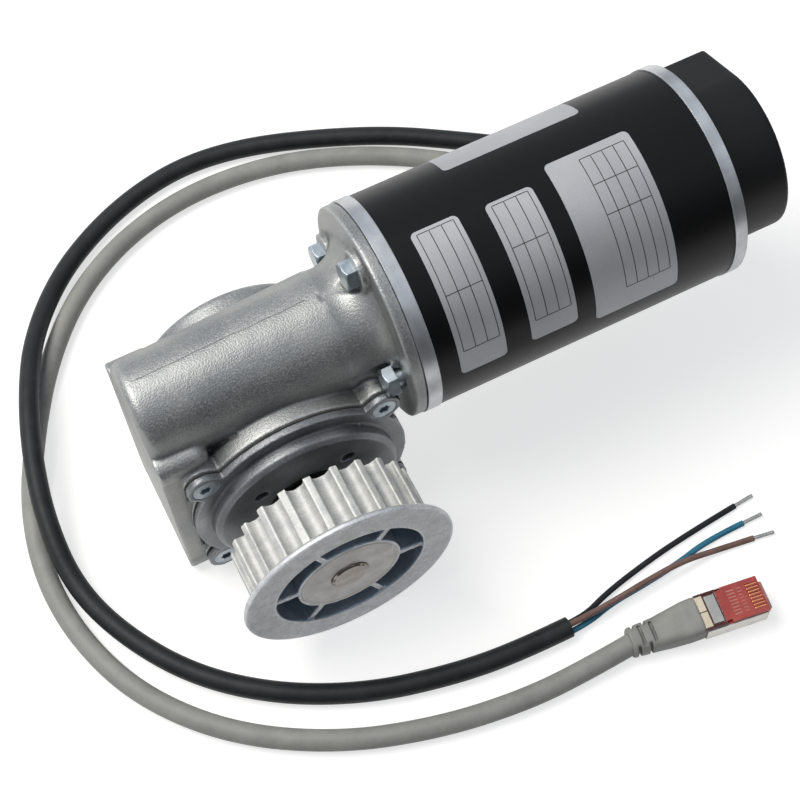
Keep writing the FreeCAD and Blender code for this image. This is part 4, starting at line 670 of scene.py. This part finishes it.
@dataclass
class Label:
    """Blank silver label bent round the motor tube, with ruled lines."""

    name: str
    start: float
    end: float
    low: float
    high: float
    rules: Sequence[float] = ()
    ruled_from: float = 0.0
    ruled_to: float = 0.0
    bars: Sequence[float] = ()
    radius: float = 31.5
    thickness: float = 0.07
    corner: float = 1.6
    rule: float = 0.24
    ink: float = 0.03
    proud: float = 0.02
    step: float = 1.2

    def arc(self, degrees: float) -> float:
        """Arc length in millimetres from +Y up and over the tube."""
        return math.radians(degrees) * self.radius

    def sheet(self, shape: bmesh.types.BMesh, along: Sequence[float], span: Callable[[float], Flat],
              top: float, thick: float) -> None:
        """Adds a bent sheet.

        Args:
            shape: Shape to add to.
            along: Places along the motor axis in millimetres.
            span: First and last arc length round the tube at a place along the axis.
            top: Height of its outer face over the tube.
            thick: Thickness of the sheet.
        """
        widest = max(span(x)[1] - span(x)[0] for x in along)
        steps = max(2, round(widest / self.step))
        skins = []
        for lift in (top, top - thick):
            rows = []
            for x in along:
                first, last = span(x)
                angles = [(first + (last - first) * k / steps) / self.radius for k in range(steps + 1)]
                r = self.radius + lift
                rows.append([shape.verts.new((x * MM, r * math.cos(a) * MM, (AXIS_Z + r * math.sin(a)) * MM))
                             for a in angles])
            skins.append(rows)
        for rows in skins:
            for a, b in zip(rows, rows[1:]):
                for k in range(steps):
                    shape.faces.new([a[k], b[k], b[k + 1], a[k + 1]])
        rims = []
        for rows in skins:
            far = [row[-1] for row in rows[1:-1]]
            near = [row[0] for row in rows[-2:0:-1]]
            rims.append(rows[0] + far + rows[-1][::-1] + near)
        count = len(rims[0])
        for k in range(count):
            n = (k + 1) % count
            shape.faces.new([rims[0][k], rims[1][k], rims[1][n], rims[0][n]])

    def rounded(self, x: float) -> Flat:
        """Gives the span of the label, with its round corners.

        Args:
            x: Place along the motor axis in millimetres.

        Returns:
            First and last arc length round the tube.
        """
        c = self.corner
        near = min(x - self.start, self.end - x, c)
        inset = c - math.sqrt(max(c * c - (c - near) ** 2, 0.0))
        return (self.arc(self.low) + inset, self.arc(self.high) - inset)

    def build(self) -> None:
        """Makes the label and its rules."""
        turns = [self.corner * (1 - math.cos(math.radians(a))) for a in (0, 22, 45, 68, 90)]
        along = [self.start + t for t in turns] + [self.end - t for t in reversed(turns)]
        shape = bmesh.new()
        self.sheet(shape, along, self.rounded, self.thickness, self.thickness + self.proud)
        placed(as_object(shape, self.name), Body.GEARMOTOR, "machined_aluminium", LABEL_FOIL)
        if not self.rules:
            return
        shape = bmesh.new()
        half = self.rule / 2
        top = self.thickness + self.proud
        ends = (self.arc(self.ruled_from), self.arc(self.ruled_to))
        for x in self.rules:
            self.sheet(shape, [x - half, x + half], lambda _: ends, top, self.ink)
        for angle in (self.ruled_from, *self.bars, self.ruled_to):
            middle = self.arc(angle)
            for a, b in zip(self.rules, self.rules[1:]):
                self.sheet(shape, [a + half, b - half], lambda _: (middle - half, middle + half), top,
                           self.ink)
        placed(as_object(shape, self.name + "_rules"), Body.GEARMOTOR, "black_paint", LABEL_INK)


@dataclass
class Motor:
    """Moulded cap and silver labels of the motor."""

    cap_voxel: float = 0.5

    def labels(self) -> list[Label]:
        """Sets out the four labels on the tube.

        Returns:
            The labels, not yet built.
        """
        return [Label("label_small_front", 84.7, 98.6, 93, 174, (86.4, 90.0, 93.6, 97.2), 95, 159, (128,)),
                Label("label_small_middle", 106.2, 120.3, 95, 173, (108.0, 111.6, 115.2, 118.8), 97, 160,
                      (120,)),
                Label("label_large", 126.0, 151.5, 88, 180, (135.6, 139.0, 142.4, 145.8, 149.2), 93, 165,
                      (108, 124)),
                Label("label_long_top", 103.0, 145.0, 38, 63.5)]

    def build(self) -> None:
        """Makes the cap and the labels."""
        cap = melted(welded("rear_cap"), "rear_cap_moulding", self.cap_voxel, 3)
        placed(cap, Body.GEARMOTOR, "black_cap", MOULDED_NYLON, "rear_cap")
        for label in self.labels():
            label.build()


@dataclass
class Gearbox:
    """Die cast housing and output cover with melted edges, and cover screws with six lobed sockets."""

    voxel: float = 0.45
    cover_voxel: float = 0.4
    screw_x: float = 26.8
    screw_z: float = 22.0
    screw_out: float = 24.8
    head_radius: float = 3.75
    shank_radius: float = 2.0
    screw_length: float = 12.0
    socket_radius: float = 1.5
    socket_lobe: float = 0.22
    socket_depth: float = 1.4
    screw_edge: float = 0.12
    head_round: float = 0.15
    tube_front: float = 15.6
    tube_rear: float = 17.7
    tube_start: float = 3.0
    flare_x: float = 58.8
    ridge_start: float = 4.0
    ridge_step: float = 2.1
    ridge_angle: float = math.radians(86)
    ridge_height: float = 0.07

    def ring(self, x: float, z: float, radius: float, lobe: float, out: float) -> list[Vector]:
        """Points of a round or lobed ring.

        Args:
            x: Place from the output axis along X in millimetres.
            z: Place from the output axis along Z in millimetres.
            radius: Mean radius.
            lobe: Height of the six lobes.
            out: Height over the gearbox middle.

        Returns:
            Points in metres.
        """
        points = []
        for k in range(72):
            angle = 2 * math.pi * k / 72
            r = radius + lobe * math.cos(6 * angle)
            points.append(Vector((OUTPUT_X + x + r * math.cos(angle), -out, z + r * math.sin(angle))) * MM)
        return points

    def screws(self) -> bpy.types.Object:
        """Makes the four countersunk screws.

        Returns:
            New object, not yet placed.
        """
        shape = bmesh.new()
        top = self.screw_out
        edge = top - self.screw_edge
        bottom = top - self.socket_depth
        sink = self.head_radius - self.shank_radius
        for x in (-self.screw_x, self.screw_x):
            for z in (-self.screw_z, self.screw_z):
                lofted(shape, [self.ring(x, z, self.shank_radius, 0, top - self.screw_length),
                               self.ring(x, z, self.shank_radius, 0, top - sink),
                               self.ring(x, z, self.head_radius, 0, edge),
                               self.ring(x, z, self.head_radius - self.head_round, 0, top),
                               self.ring(x, z, self.socket_radius + self.screw_edge, self.socket_lobe, top),
                               self.ring(x, z, self.socket_radius, self.socket_lobe, edge),
                               self.ring(x, z, self.socket_radius, self.socket_lobe, bottom)])
        return as_object(shape, "cover_screws_lobed")

    def parting_line(self) -> bpy.types.Object:
        """Makes the thin ridge that the die leaves along the top of the worm tube.

        Returns:
            New object, not yet placed.
        """
        shape = bmesh.new()
        rings = []
        for k in range(25):
            x = self.ridge_start + self.ridge_step * k
            share = (x - self.tube_start) / (self.flare_x - self.tube_start)
            radius = self.tube_front + (self.tube_rear - self.tube_front) * share
            # the flash comes and goes, and wanders a little
            high = self.ridge_height * (0.35 + 0.65 * math.sin(1.7 * k) ** 2)
            middle = self.ridge_angle + 0.006 * math.sin(1.3 * k) + 0.005 * math.sin(0.4 * k)
            outline = ((middle - 0.018, radius - 0.15), (middle - 0.007, radius + high),
                       (middle + 0.007, radius + high), (middle + 0.018, radius - 0.15))
            rings.append([Vector((x, r * math.cos(a), AXIS_Z + r * math.sin(a))) * MM for a, r in outline])
        lofted(shape, rings)
        return as_object(shape, "casting_parting_line")

    def build(self) -> None:
        """Makes the cast pieces and the screws."""
        housing = melted(welded("gearbox_housing"), "gearbox_casting", self.voxel, 4)
        placed(housing, Body.GEARMOTOR, "cast_aluminium", CAST_ALUMINIUM, "gearbox_housing")
        # The cover's finish is the casting painted darker as shade
        cover = melted(welded("output_cover"), "output_cover_casting", self.cover_voxel, 2)
        placed(cover, Body.GEARMOTOR, "cast_aluminium", CAST_COVER_SHADE, "output_cover")
        # The ridge is painted darker as its shade
        placed(self.parting_line(), Body.GEARMOTOR, "cast_aluminium", FLASH_PAINTED_SHADE)
        placed(self.screws(), Body.GEARMOTOR, "zinc_steel", ZINC_STEEL, "cover_screws")


@dataclass
class PulleyDrive:
    """Toothed belt pulley with the soft edges of a casting and a faced hub."""

    voxel: float = 0.36
    face_inner: float = 5.62
    face_outer: float = 14.7
    face_out: float = 55.45
    face_dish: float = 0.16
    pocket_inner: float = 15.4
    pocket_outer: float = 22.9
    pocket_front: float = 54.0
    pocket_slope: float = 0.6
    flange_back: float = 54.1

    def hub_face(self) -> bpy.types.Object:
        """Makes the faced ring on the hub, with its fine edge.

        Returns:
            New object, not yet placed.
        """
        shape = bmesh.new()
        profile = [(self.face_inner, -0.3), (self.face_inner, 0.03), (self.face_inner + 0.3, 0.06),
                   (self.face_outer - 0.7, 0.06), (self.face_outer - 0.45, self.face_dish),
                   (self.face_outer - 0.15, self.face_dish), (self.face_outer, 0.04), (self.face_outer, -0.3)]
        rows = []
        for k in range(128):
            angle = 2 * math.pi * k / 128
            c, s = math.cos(angle), math.sin(angle)
            places = [(OUTPUT_X + r * c, -self.face_out - h, r * s) for r, h in profile]
            rows.append([shape.verts.new(Vector(place) * MM) for place in places])
        for a, b in zip(rows, rows[1:] + rows[:1]):
            for k in range(len(profile)):
                n = (k + 1) % len(profile)
                shape.faces.new([a[k], a[n], b[n], b[k]])
        return as_object(shape, "pulley_hub_face")

    def zone(self, face: bpy.types.MeshPolygon) -> PulleyZone:
        """Tells which zone of the casting a face lies in.

        Args:
            face: Face of the pulley.

        Returns:
            Its zone; the pockets lie between the hub and the rim.
        """
        place = face.center / MM
        reach = math.hypot(place.x - OUTPUT_X, place.z)
        deep = -place.y < self.pocket_front or abs(face.normal.y) < self.pocket_slope
        if deep and self.pocket_inner < reach < self.pocket_outer:
            return PulleyZone.POCKET
        return PulleyZone.FLANGE if -place.y > self.flange_back else PulleyZone.TEETH

    def build(self) -> None:
        """Makes the pulley and its hub face."""
        wheel = melted(welded("pulley"), "belt_pulley_casting", self.voxel, 2)
        placed(wheel, Body.OUTPUT, "pulley_metal", CAST_ZINC, "pulley")
        # Flange: zinc painted cooler as a reflection
        # Pockets: zinc painted darker as shade
        dress_zones(wheel, (POCKET_ZINC_SHADE, FLANGE_ZINC_REFLECTION), self.zone)
        placed(self.hub_face(), Body.OUTPUT, "pulley_metal", FACED_ZINC)


@dataclass
class SignalPlug:
    """Moulded plug of the signal cable, lying at a slant on the floor.

    Its sizes are in its own millimetres: along the plug from the tail of the boot, across it, and up from
    the floor.
    """

    x: float = 102.0
    y: float = -100.0
    angle: float = -8.0
    base: float = 3.3
    top: float = 9.9
    half: float = 5.5
    pitch: float = 1.02
    boot_slot: float = 0.95
    boot_voxel: float = 0.17
    body_voxel: float = 0.13
    body_start: float = 21.0
    body_end: float = 40.3
    nose_end: float = 41.8
    latch_half: float = 3.0
    blade_start: float = 36.4
    blade_end: float = 39.9
    clamp_end: float = 27.4
    lip_start: float = 40.35

    def block(self, shape: bmesh.types.BMesh, low: Point, high: Point, round_mm: float = 0.0) -> None:
        """Adds a block, with round edges where a radius is given.

        Args:
            shape: Shape to add to.
            low: Lowest corner in the plug's own millimetres.
            high: Highest corner.
            round_mm: Radius of its edges.
        """
        made = bmesh.ops.create_cube(shape, size=1.0)["verts"]
        bmesh.ops.scale(shape, vec=[b - a for a, b in zip(low, high)], verts=made)
        bmesh.ops.translate(shape, vec=[(a + b) / 2 for a, b in zip(low, high)], verts=made)
        if round_mm > 0:
            edges = {edge for vert in made for edge in vert.link_edges}
            bmesh.ops.bevel(shape, geom=list(edges), offset=round_mm, segments=2, affect="EDGES", profile=0.5)

    def lying(self, shape: bmesh.types.BMesh, name: str) -> bpy.types.Object:
        """Turns a shape into an object where the plug lies.

        Args:
            shape: Shape in the plug's own millimetres, used up.
            name: Name of the piece.

        Returns:
            New object, not yet placed.
        """
        turn = Matrix.Rotation(math.radians(self.angle), 4, "Z")
        place = Matrix.Translation((self.x, self.y, FLOOR_Z)) @ turn
        bmesh.ops.transform(shape, matrix=Matrix.Scale(MM, 4) @ place, verts=shape.verts)
        return as_object(shape, name)

    def across(self) -> list[float]:
        """Sideways place of each of the eight contacts."""
        return [self.pitch * (k - 3.5) for k in range(8)]

    def boot(self) -> bpy.types.Object:
        """Makes the tapered boot with its staggered slots.

        Returns:
            New object, not yet placed.
        """
        shape = bmesh.new()
        rings = []
        # place along, width, height, middle height and squareness of each section
        sections = [(0.0, 8.1, 8.0, 4.2, 2.3), (0.5, 8.6, 8.3, 4.25, 2.4), (8.0, 9.3, 8.3, 4.4, 3.2),
                    (12.0, 10.2, 8.4, 5.0, 4.0), (17.0, 11.3, 8.3, 6.1, 4.6), (20.4, 11.5, 7.7, 6.65, 5.0),
                    (21.0, 11.1, 7.3, 6.65, 5.0)]
        for x, width, height, middle, power in sections:
            ring = []
            for k in range(56):
                angle = 2 * math.pi * k / 56
                c, s = math.cos(angle), math.sin(angle)
                reach = (abs(c) ** power + abs(s) ** power) ** (-1.0 / power)
                ring.append(Vector((x, width / 2 * reach * c, middle + height / 2 * reach * s)))
            rings.append(ring)
        lofted(shape, rings)
        tools = bmesh.new()
        for x in (3.1, 6.5):
            self.block(tools, (x, -3.1, 7.0), (x + self.boot_slot, 3.1, 12.0))
            self.block(tools, (x, -3.1, -2.0), (x + self.boot_slot, 3.1, 1.4))
        for x in (1.4, 4.8):
            for side in (-1, 1):
                low, high = sorted((side * 2.7, side * 8.0))
                self.block(tools, (x, low, -2.0), (x + self.boot_slot, high, 12.0))
        cut_mesh = carved(self.lying(shape, "boot_solid"), self.lying(tools, "boot_tools"))
        return melted(cut_mesh, "plug_boot_moulding", self.boot_voxel, 2)

    def body(self) -> bpy.types.Object:
        """Makes the clear body with its contact slots, window, side notches, nose and latch.

        Returns:
            New object, not yet placed.
        """
        shape = bmesh.new()
        self.block(shape, (self.body_start, -self.half, self.base), (self.body_end, self.half, self.top))
        tools = bmesh.new()
        for y in self.across():
            self.block(tools, (self.blade_start - 0.2, y - 0.3, self.top - 1.6),
                       (self.blade_end + 0.1, y + 0.3, self.top + 1))
        self.block(tools, (21.0, -4.9, self.top - 0.35), (27.1, 4.9, self.top + 1))
        for side in (-1, 1):
            low, high = sorted((side * 4.6, side * 8.0))
            self.block(tools, (27.5, low, self.top - 1.6), (29.1, high, self.top + 1))
        cut_mesh = carved(self.lying(shape, "body_solid"), self.lying(tools, "body_tools"))
        main = melted(cut_mesh, "body_main", self.body_voxel, 2)
        extra = bmesh.new()
        self.block(extra, (self.body_end - 0.6, -4.3, self.base + 0.4), (self.nose_end, 4.3, self.base + 4.4),
                   0.45)
        # place along, underside and top of the latch
        latch = [(self.nose_end - 0.6, 2.4, self.base + 0.6), (34.0, 1.1, 2.0), (27.8, 0.3, 1.2)]
        half = self.latch_half
        lofted(extra, [[Vector((x, -half, low)), Vector((x, half, low)), Vector((x, half, high)),
                        Vector((x, -half, high))] for x, low, high in latch])
        rest = self.lying(extra, "body_rest")
        joined = bmesh.new()
        for obj in (main, rest):
            joined.from_mesh(obj.data)
            bpy.data.objects.remove(obj)
        return as_object(joined, "plug_body_moulding", smooth=True)

    def zone(self, face: bpy.types.MeshPolygon) -> PlugZone:
        """Tells which zone of the clear body a face lies in.

        Args:
            face: Face of the body.

        Returns:
            Its zone: over the cable clamp, which gets painted shade, at the thin lip in front, or between
                them.
        """
        place = face.center / MM
        turn = math.radians(self.angle)
        along = (place.x - self.x) * math.cos(turn) + (place.y - self.y) * math.sin(turn)
        if along < self.clamp_end:
            return PlugZone.CLAMP
        return PlugZone.LIP if along > self.lip_start else PlugZone.MIDDLE

    def blades(self) -> bpy.types.Object:
        """Makes the eight contact blades.

        Returns:
            New object, not yet placed.
        """
        shape = bmesh.new()
        for y in self.across():
            self.block(shape, (self.blade_start, y - 0.26, self.top - 1.8),
                       (self.blade_end, y + 0.26, self.top - 0.12), 0.1)
        return self.lying(shape, "plug_contact_blades")

    def tabs(self) -> bpy.types.Object:
        """Makes the two pale tabs at the boot.

        Returns:
            New object, not yet placed.
        """
        shape = bmesh.new()
        for side in (-1, 1):
            low, high = sorted((side * 0.12, side * 4.85))
            self.block(shape, (20.9, low, self.top - 0.6), (23.3, high, self.top + 0.02), 0.15)
        return self.lying(shape, "plug_tabs")

    def crimps(self) -> bpy.types.Object:
        """Makes the two rows of pale wire ends in the body.

        Returns:
            New object, not yet placed.
        """
        shape = bmesh.new()
        for y in self.across():
            self.block(shape, (30.4, y - 0.2, self.top - 0.5), (32.7, y + 0.2, self.top + 0.03), 0.06)
            self.block(shape, (33.5, y - 0.14, self.top - 0.5), (34.9, y + 0.14, self.top + 0.03), 0.06)
        return self.lying(shape, "plug_crimps")

    def strip(self) -> bpy.types.Object:
        """Makes the grey strip in the window next to the tabs.

        Returns:
            New object, not yet placed.
        """
        shape = bmesh.new()
        self.block(shape, (23.8, -4.3, self.top - 0.8), (26.9, 4.3, self.top - 0.05), 0.12)
        return self.lying(shape, "plug_strip")

    def sheet(self) -> bpy.types.Object:
        """Makes the folded metal sheet round the sides and the underside.

        Returns:
            New object, not yet placed.
        """
        shape = bmesh.new()
        outer, inner = self.half + 0.3, self.half + 0.04
        low, high = self.base - 0.3, self.top - 1.0
        profile = [(-outer, high), (-outer, low + 0.3), (-outer + 0.3, low), (outer - 0.3, low),
                   (outer, low + 0.3), (outer, high), (inner, high), (inner, low + 0.25),
                   (-inner, low + 0.25), (-inner, high)]
        ends = (self.body_start + 0.3, self.body_end - 0.5)
        lofted(shape, [[Vector((x, y, z)) for y, z in profile] for x in ends])
        return self.lying(shape, "plug_sheet_folded")

    def build(self) -> list[bpy.types.Object]:
        """Makes the pieces of the plug.

        Returns:
            Every piece that the signal cable carries.
        """
        on = Body.GEARMOTOR
        body = placed(self.body(), on, "red_clear", RED_POLYCARBONATE, "plug_body")
        # The body over the clamp and the window is painted darker as shade
        dress_zones(body, (SHADED_POLYCARBONATE, THIN_POLYCARBONATE), self.zone)
        return [body, placed(self.boot(), on, "grey_boot", GREY_BOOT, "plug_boot"),
                placed(self.blades(), on, "gold", GOLD_PLATE, "plug_contacts"),
                placed(self.sheet(), on, "plug_sheet", NICKEL_SHEET, "plug_shield"),
                placed(self.tabs(), on, "white_plastic", NATURAL_PLASTIC),
                placed(self.crimps(), on, "white_plastic", PINK_CRIMPS),
                placed(self.strip(), on, "plug_sheet", GREY_SHEET)]


@dataclass
class Studio:
    """Camera, pale floor, soft lamps and white surround."""

    eye: Point = (-17.86, -242.72, 459.02)
    right: Point = (0.89534, -0.44324, -0.04369)
    up: Point = (0.40956, 0.78080, 0.47182)
    focal_px: float = 1800.0
    image_px: float = 800.0
    sensor_mm: float = 36.0
    bright_side: Point = (-0.25, 0.45, 0.86)
    dim_level: float = 0.12
    ambient: float = 0.32
    sweep: tuple[Flat, Flat] = ((-0.5, -0.26), (0.8, 1.2))
    floor_middle: Point = (0.07, 0.0, 0.0)
    floor_gap: float = 0.02
    # Glow of the floor near the part, lowered as painted shade
    glow_in_painted_shade: float = 0.66
    glow_reach: Flat = (0.16, 0.45)
    sky_reach: Flat = (-0.15, 0.7)
    aim: Point = (0.06, 0.0, 0.0)

    def camera(self) -> None:
        """Makes the camera of the photograph's view."""
        data = bpy.data.cameras.new("view")
        data.sensor_width = self.sensor_mm
        data.lens = self.focal_px / self.image_px * self.sensor_mm
        data.clip_start = 0.01
        data.clip_end = 20.0
        obj = bpy.data.objects.new("view", data)
        right = Vector(self.right).normalized()
        up = Vector(self.up)
        up = (up - right * up.dot(right)).normalized()
        turn = Matrix((right, up, right.cross(up))).transposed()
        obj.matrix_world = Matrix.Translation(Vector(self.eye) * MM) @ turn.to_4x4()
        bpy.context.scene.collection.objects.link(obj)
        bpy.context.scene.camera = obj

    def seen(self, tree: bpy.types.NodeTree) -> bpy.types.NodeSocket:
        """Adds the test for rays that look at the surround, straight or through a reflection or glass.

        Args:
            tree: Tree of the floor or the world.

        Returns:
            Socket that is 1 for such rays and 0 for others.
        """
        path = add(tree, "ShaderNodeLightPath")
        first = add(tree, "ShaderNodeMath",
                    {0: path.outputs["Is Camera Ray"], 1: path.outputs["Is Glossy Ray"]}, operation="MAXIMUM")
        both = add(tree, "ShaderNodeMath", {0: first.outputs[0], 1: path.outputs["Is Transmission Ray"]},
                   operation="MAXIMUM")
        return both.outputs[0]

    def floor(self) -> None:
        """Makes the pale floor, which shows white, dimmer near the part as painted shade and whiter towards
        its edges, and keeps the shadows.
        """
        mesh = bpy.data.meshes.new("floor")
        (left, front), (right, back) = self.sweep
        corners = [(left, front, 0), (right, front, 0), (right, back, 0), (left, back, 0)]
        mesh.from_pydata(corners, [], [(0, 1, 2, 3)])
        obj = bpy.data.objects.new("floor", mesh)
        obj.location.z = (FLOOR_Z - self.floor_gap) * MM
        bpy.context.scene.collection.objects.link(obj)
        material = bpy.data.materials.new("paper_sweep_white")
        material.use_nodes = True
        tree = material.node_tree
        tree.nodes.clear()
        paper = add(tree, "ShaderNodeBsdfDiffuse", {"Color": linear("c6c6c6")})
        place = add(tree, "ShaderNodeTexCoord").outputs["Object"]
        reach = add(tree, "ShaderNodeVectorMath", {0: place, 1: self.floor_middle}, operation="DISTANCE")
        near, far = self.glow_reach
        # The glow is weaker near the part: painted shade on the floor
        pale = add(tree, "ShaderNodeMapRange",
                   {"Value": reach.outputs["Value"], "From Min": near, "From Max": far,
                    "To Min": self.glow_in_painted_shade, "To Max": 1.0}, interpolation_type="SMOOTHSTEP")
        lift = add(tree, "ShaderNodeMath", {0: self.seen(tree), 1: pale.outputs[0]}, operation="MULTIPLY")
        glow = add(tree, "ShaderNodeEmission", {"Strength": lift.outputs[0]})
        both = add(tree, "ShaderNodeAddShader", {0: paper.outputs[0], 1: glow.outputs[0]})
        add(tree, "ShaderNodeOutputMaterial", {"Surface": both.outputs[0]})
        mesh.materials.append(material)

    def lamp(self, name: str, place: Point, size: float, power: float, colour: str) -> None:
        """Makes a square soft lamp that points at the part.

        Args:
            name: Name of the lamp.
            place: Place in metres.
            size: Side in metres.
            power: Power in watts.
            colour: Colour of its light.
        """
        data = bpy.data.lights.new(name, "AREA")
        data.size = size
        data.energy = power
        data.color = linear(colour)[:3]
        obj = bpy.data.objects.new(name, data)
        obj.location = place
        aim = Vector(self.aim) - obj.location
        obj.rotation_euler = aim.to_track_quat("-Z", "Y").to_euler()
        bpy.context.scene.collection.objects.link(obj)

    def world(self) -> None:
        """Makes the surround: white to look at, dimmer as a light."""
        world = bpy.data.worlds.new("surround")
        world.use_nodes = True
        tree = world.node_tree
        tree.nodes.clear()
        way = add(tree, "ShaderNodeTexCoord").outputs["Generated"]
        facing = add(tree, "ShaderNodeVectorMath", {0: way, 1: self.bright_side}, operation="DOT_PRODUCT")
        dim, bright = self.sky_reach
        sky = add(tree, "ShaderNodeMapRange",
                  {"Value": facing.outputs["Value"], "From Min": dim, "From Max": bright,
                   "To Min": self.dim_level, "To Max": 1.0}, interpolation_type="SMOOTHSTEP")
        path = add(tree, "ShaderNodeLightPath")
        straight = add(tree, "ShaderNodeMath",
                       {0: path.outputs["Is Camera Ray"], 1: path.outputs["Is Transmission Ray"]},
                       operation="MAXIMUM")
        shown = add(tree, "ShaderNodeMath", {0: sky.outputs[0], 1: straight.outputs[0]}, operation="MAXIMUM")
        level = add(tree, "ShaderNodeMapRange",
                    {"Value": self.seen(tree), "To Min": self.ambient, "To Max": 1.0})
        both = add(tree, "ShaderNodeMath", {0: shown.outputs[0], 1: level.outputs[0]}, operation="MULTIPLY")
        tint = add(tree, "ShaderNodeMix", {0: straight.outputs[0], 6: linear("eaf1fa"), 7: linear("ffffff")},
                   data_type="RGBA")
        white = add(tree, "ShaderNodeBackground", {"Color": tint.outputs[2], "Strength": both.outputs[0]})
        add(tree, "ShaderNodeOutputWorld", {"Surface": white.outputs[0]})
        bpy.context.scene.world = world

    def build(self) -> None:
        """Makes the whole studio."""
        self.camera()
        self.floor()
        self.world()
        self.lamp("key_lamp", (-0.35, 0.3, 0.95), 0.7, 10.0, "fffaf3")
        self.lamp("fill_lamp", (0.75, -0.7, 0.75), 0.9, 1.0, "f2f6ff")
        bpy.context.scene.view_settings.view_transform = "Standard"


def dress_nodes() -> None:
    """Gives every CAD node the finish of its slot."""
    for name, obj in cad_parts.items():
        for place in obj.material_slots:
            finish = NODE_FINISHES.get(name, SLOT_FINISHES[place.material.name.split(".")[0]])
            place.material = finish.build()
        LOG.info("%s dressed", name)


def write_sizes() -> None:
    """Updates the view layer."""
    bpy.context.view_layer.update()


def main() -> None:
    """Builds the scene in order."""
    logging.basicConfig(level=logging.INFO, format="%(name)s: %(message)s")
    dress_nodes()
    Studio().build()
    Motor().build()
    Gearbox().build()
    PulleyDrive().build()
    plug = SignalPlug().build()
    Cabling(plug).build()
    write_sizes()


if __name__ == "__main__":
    main()
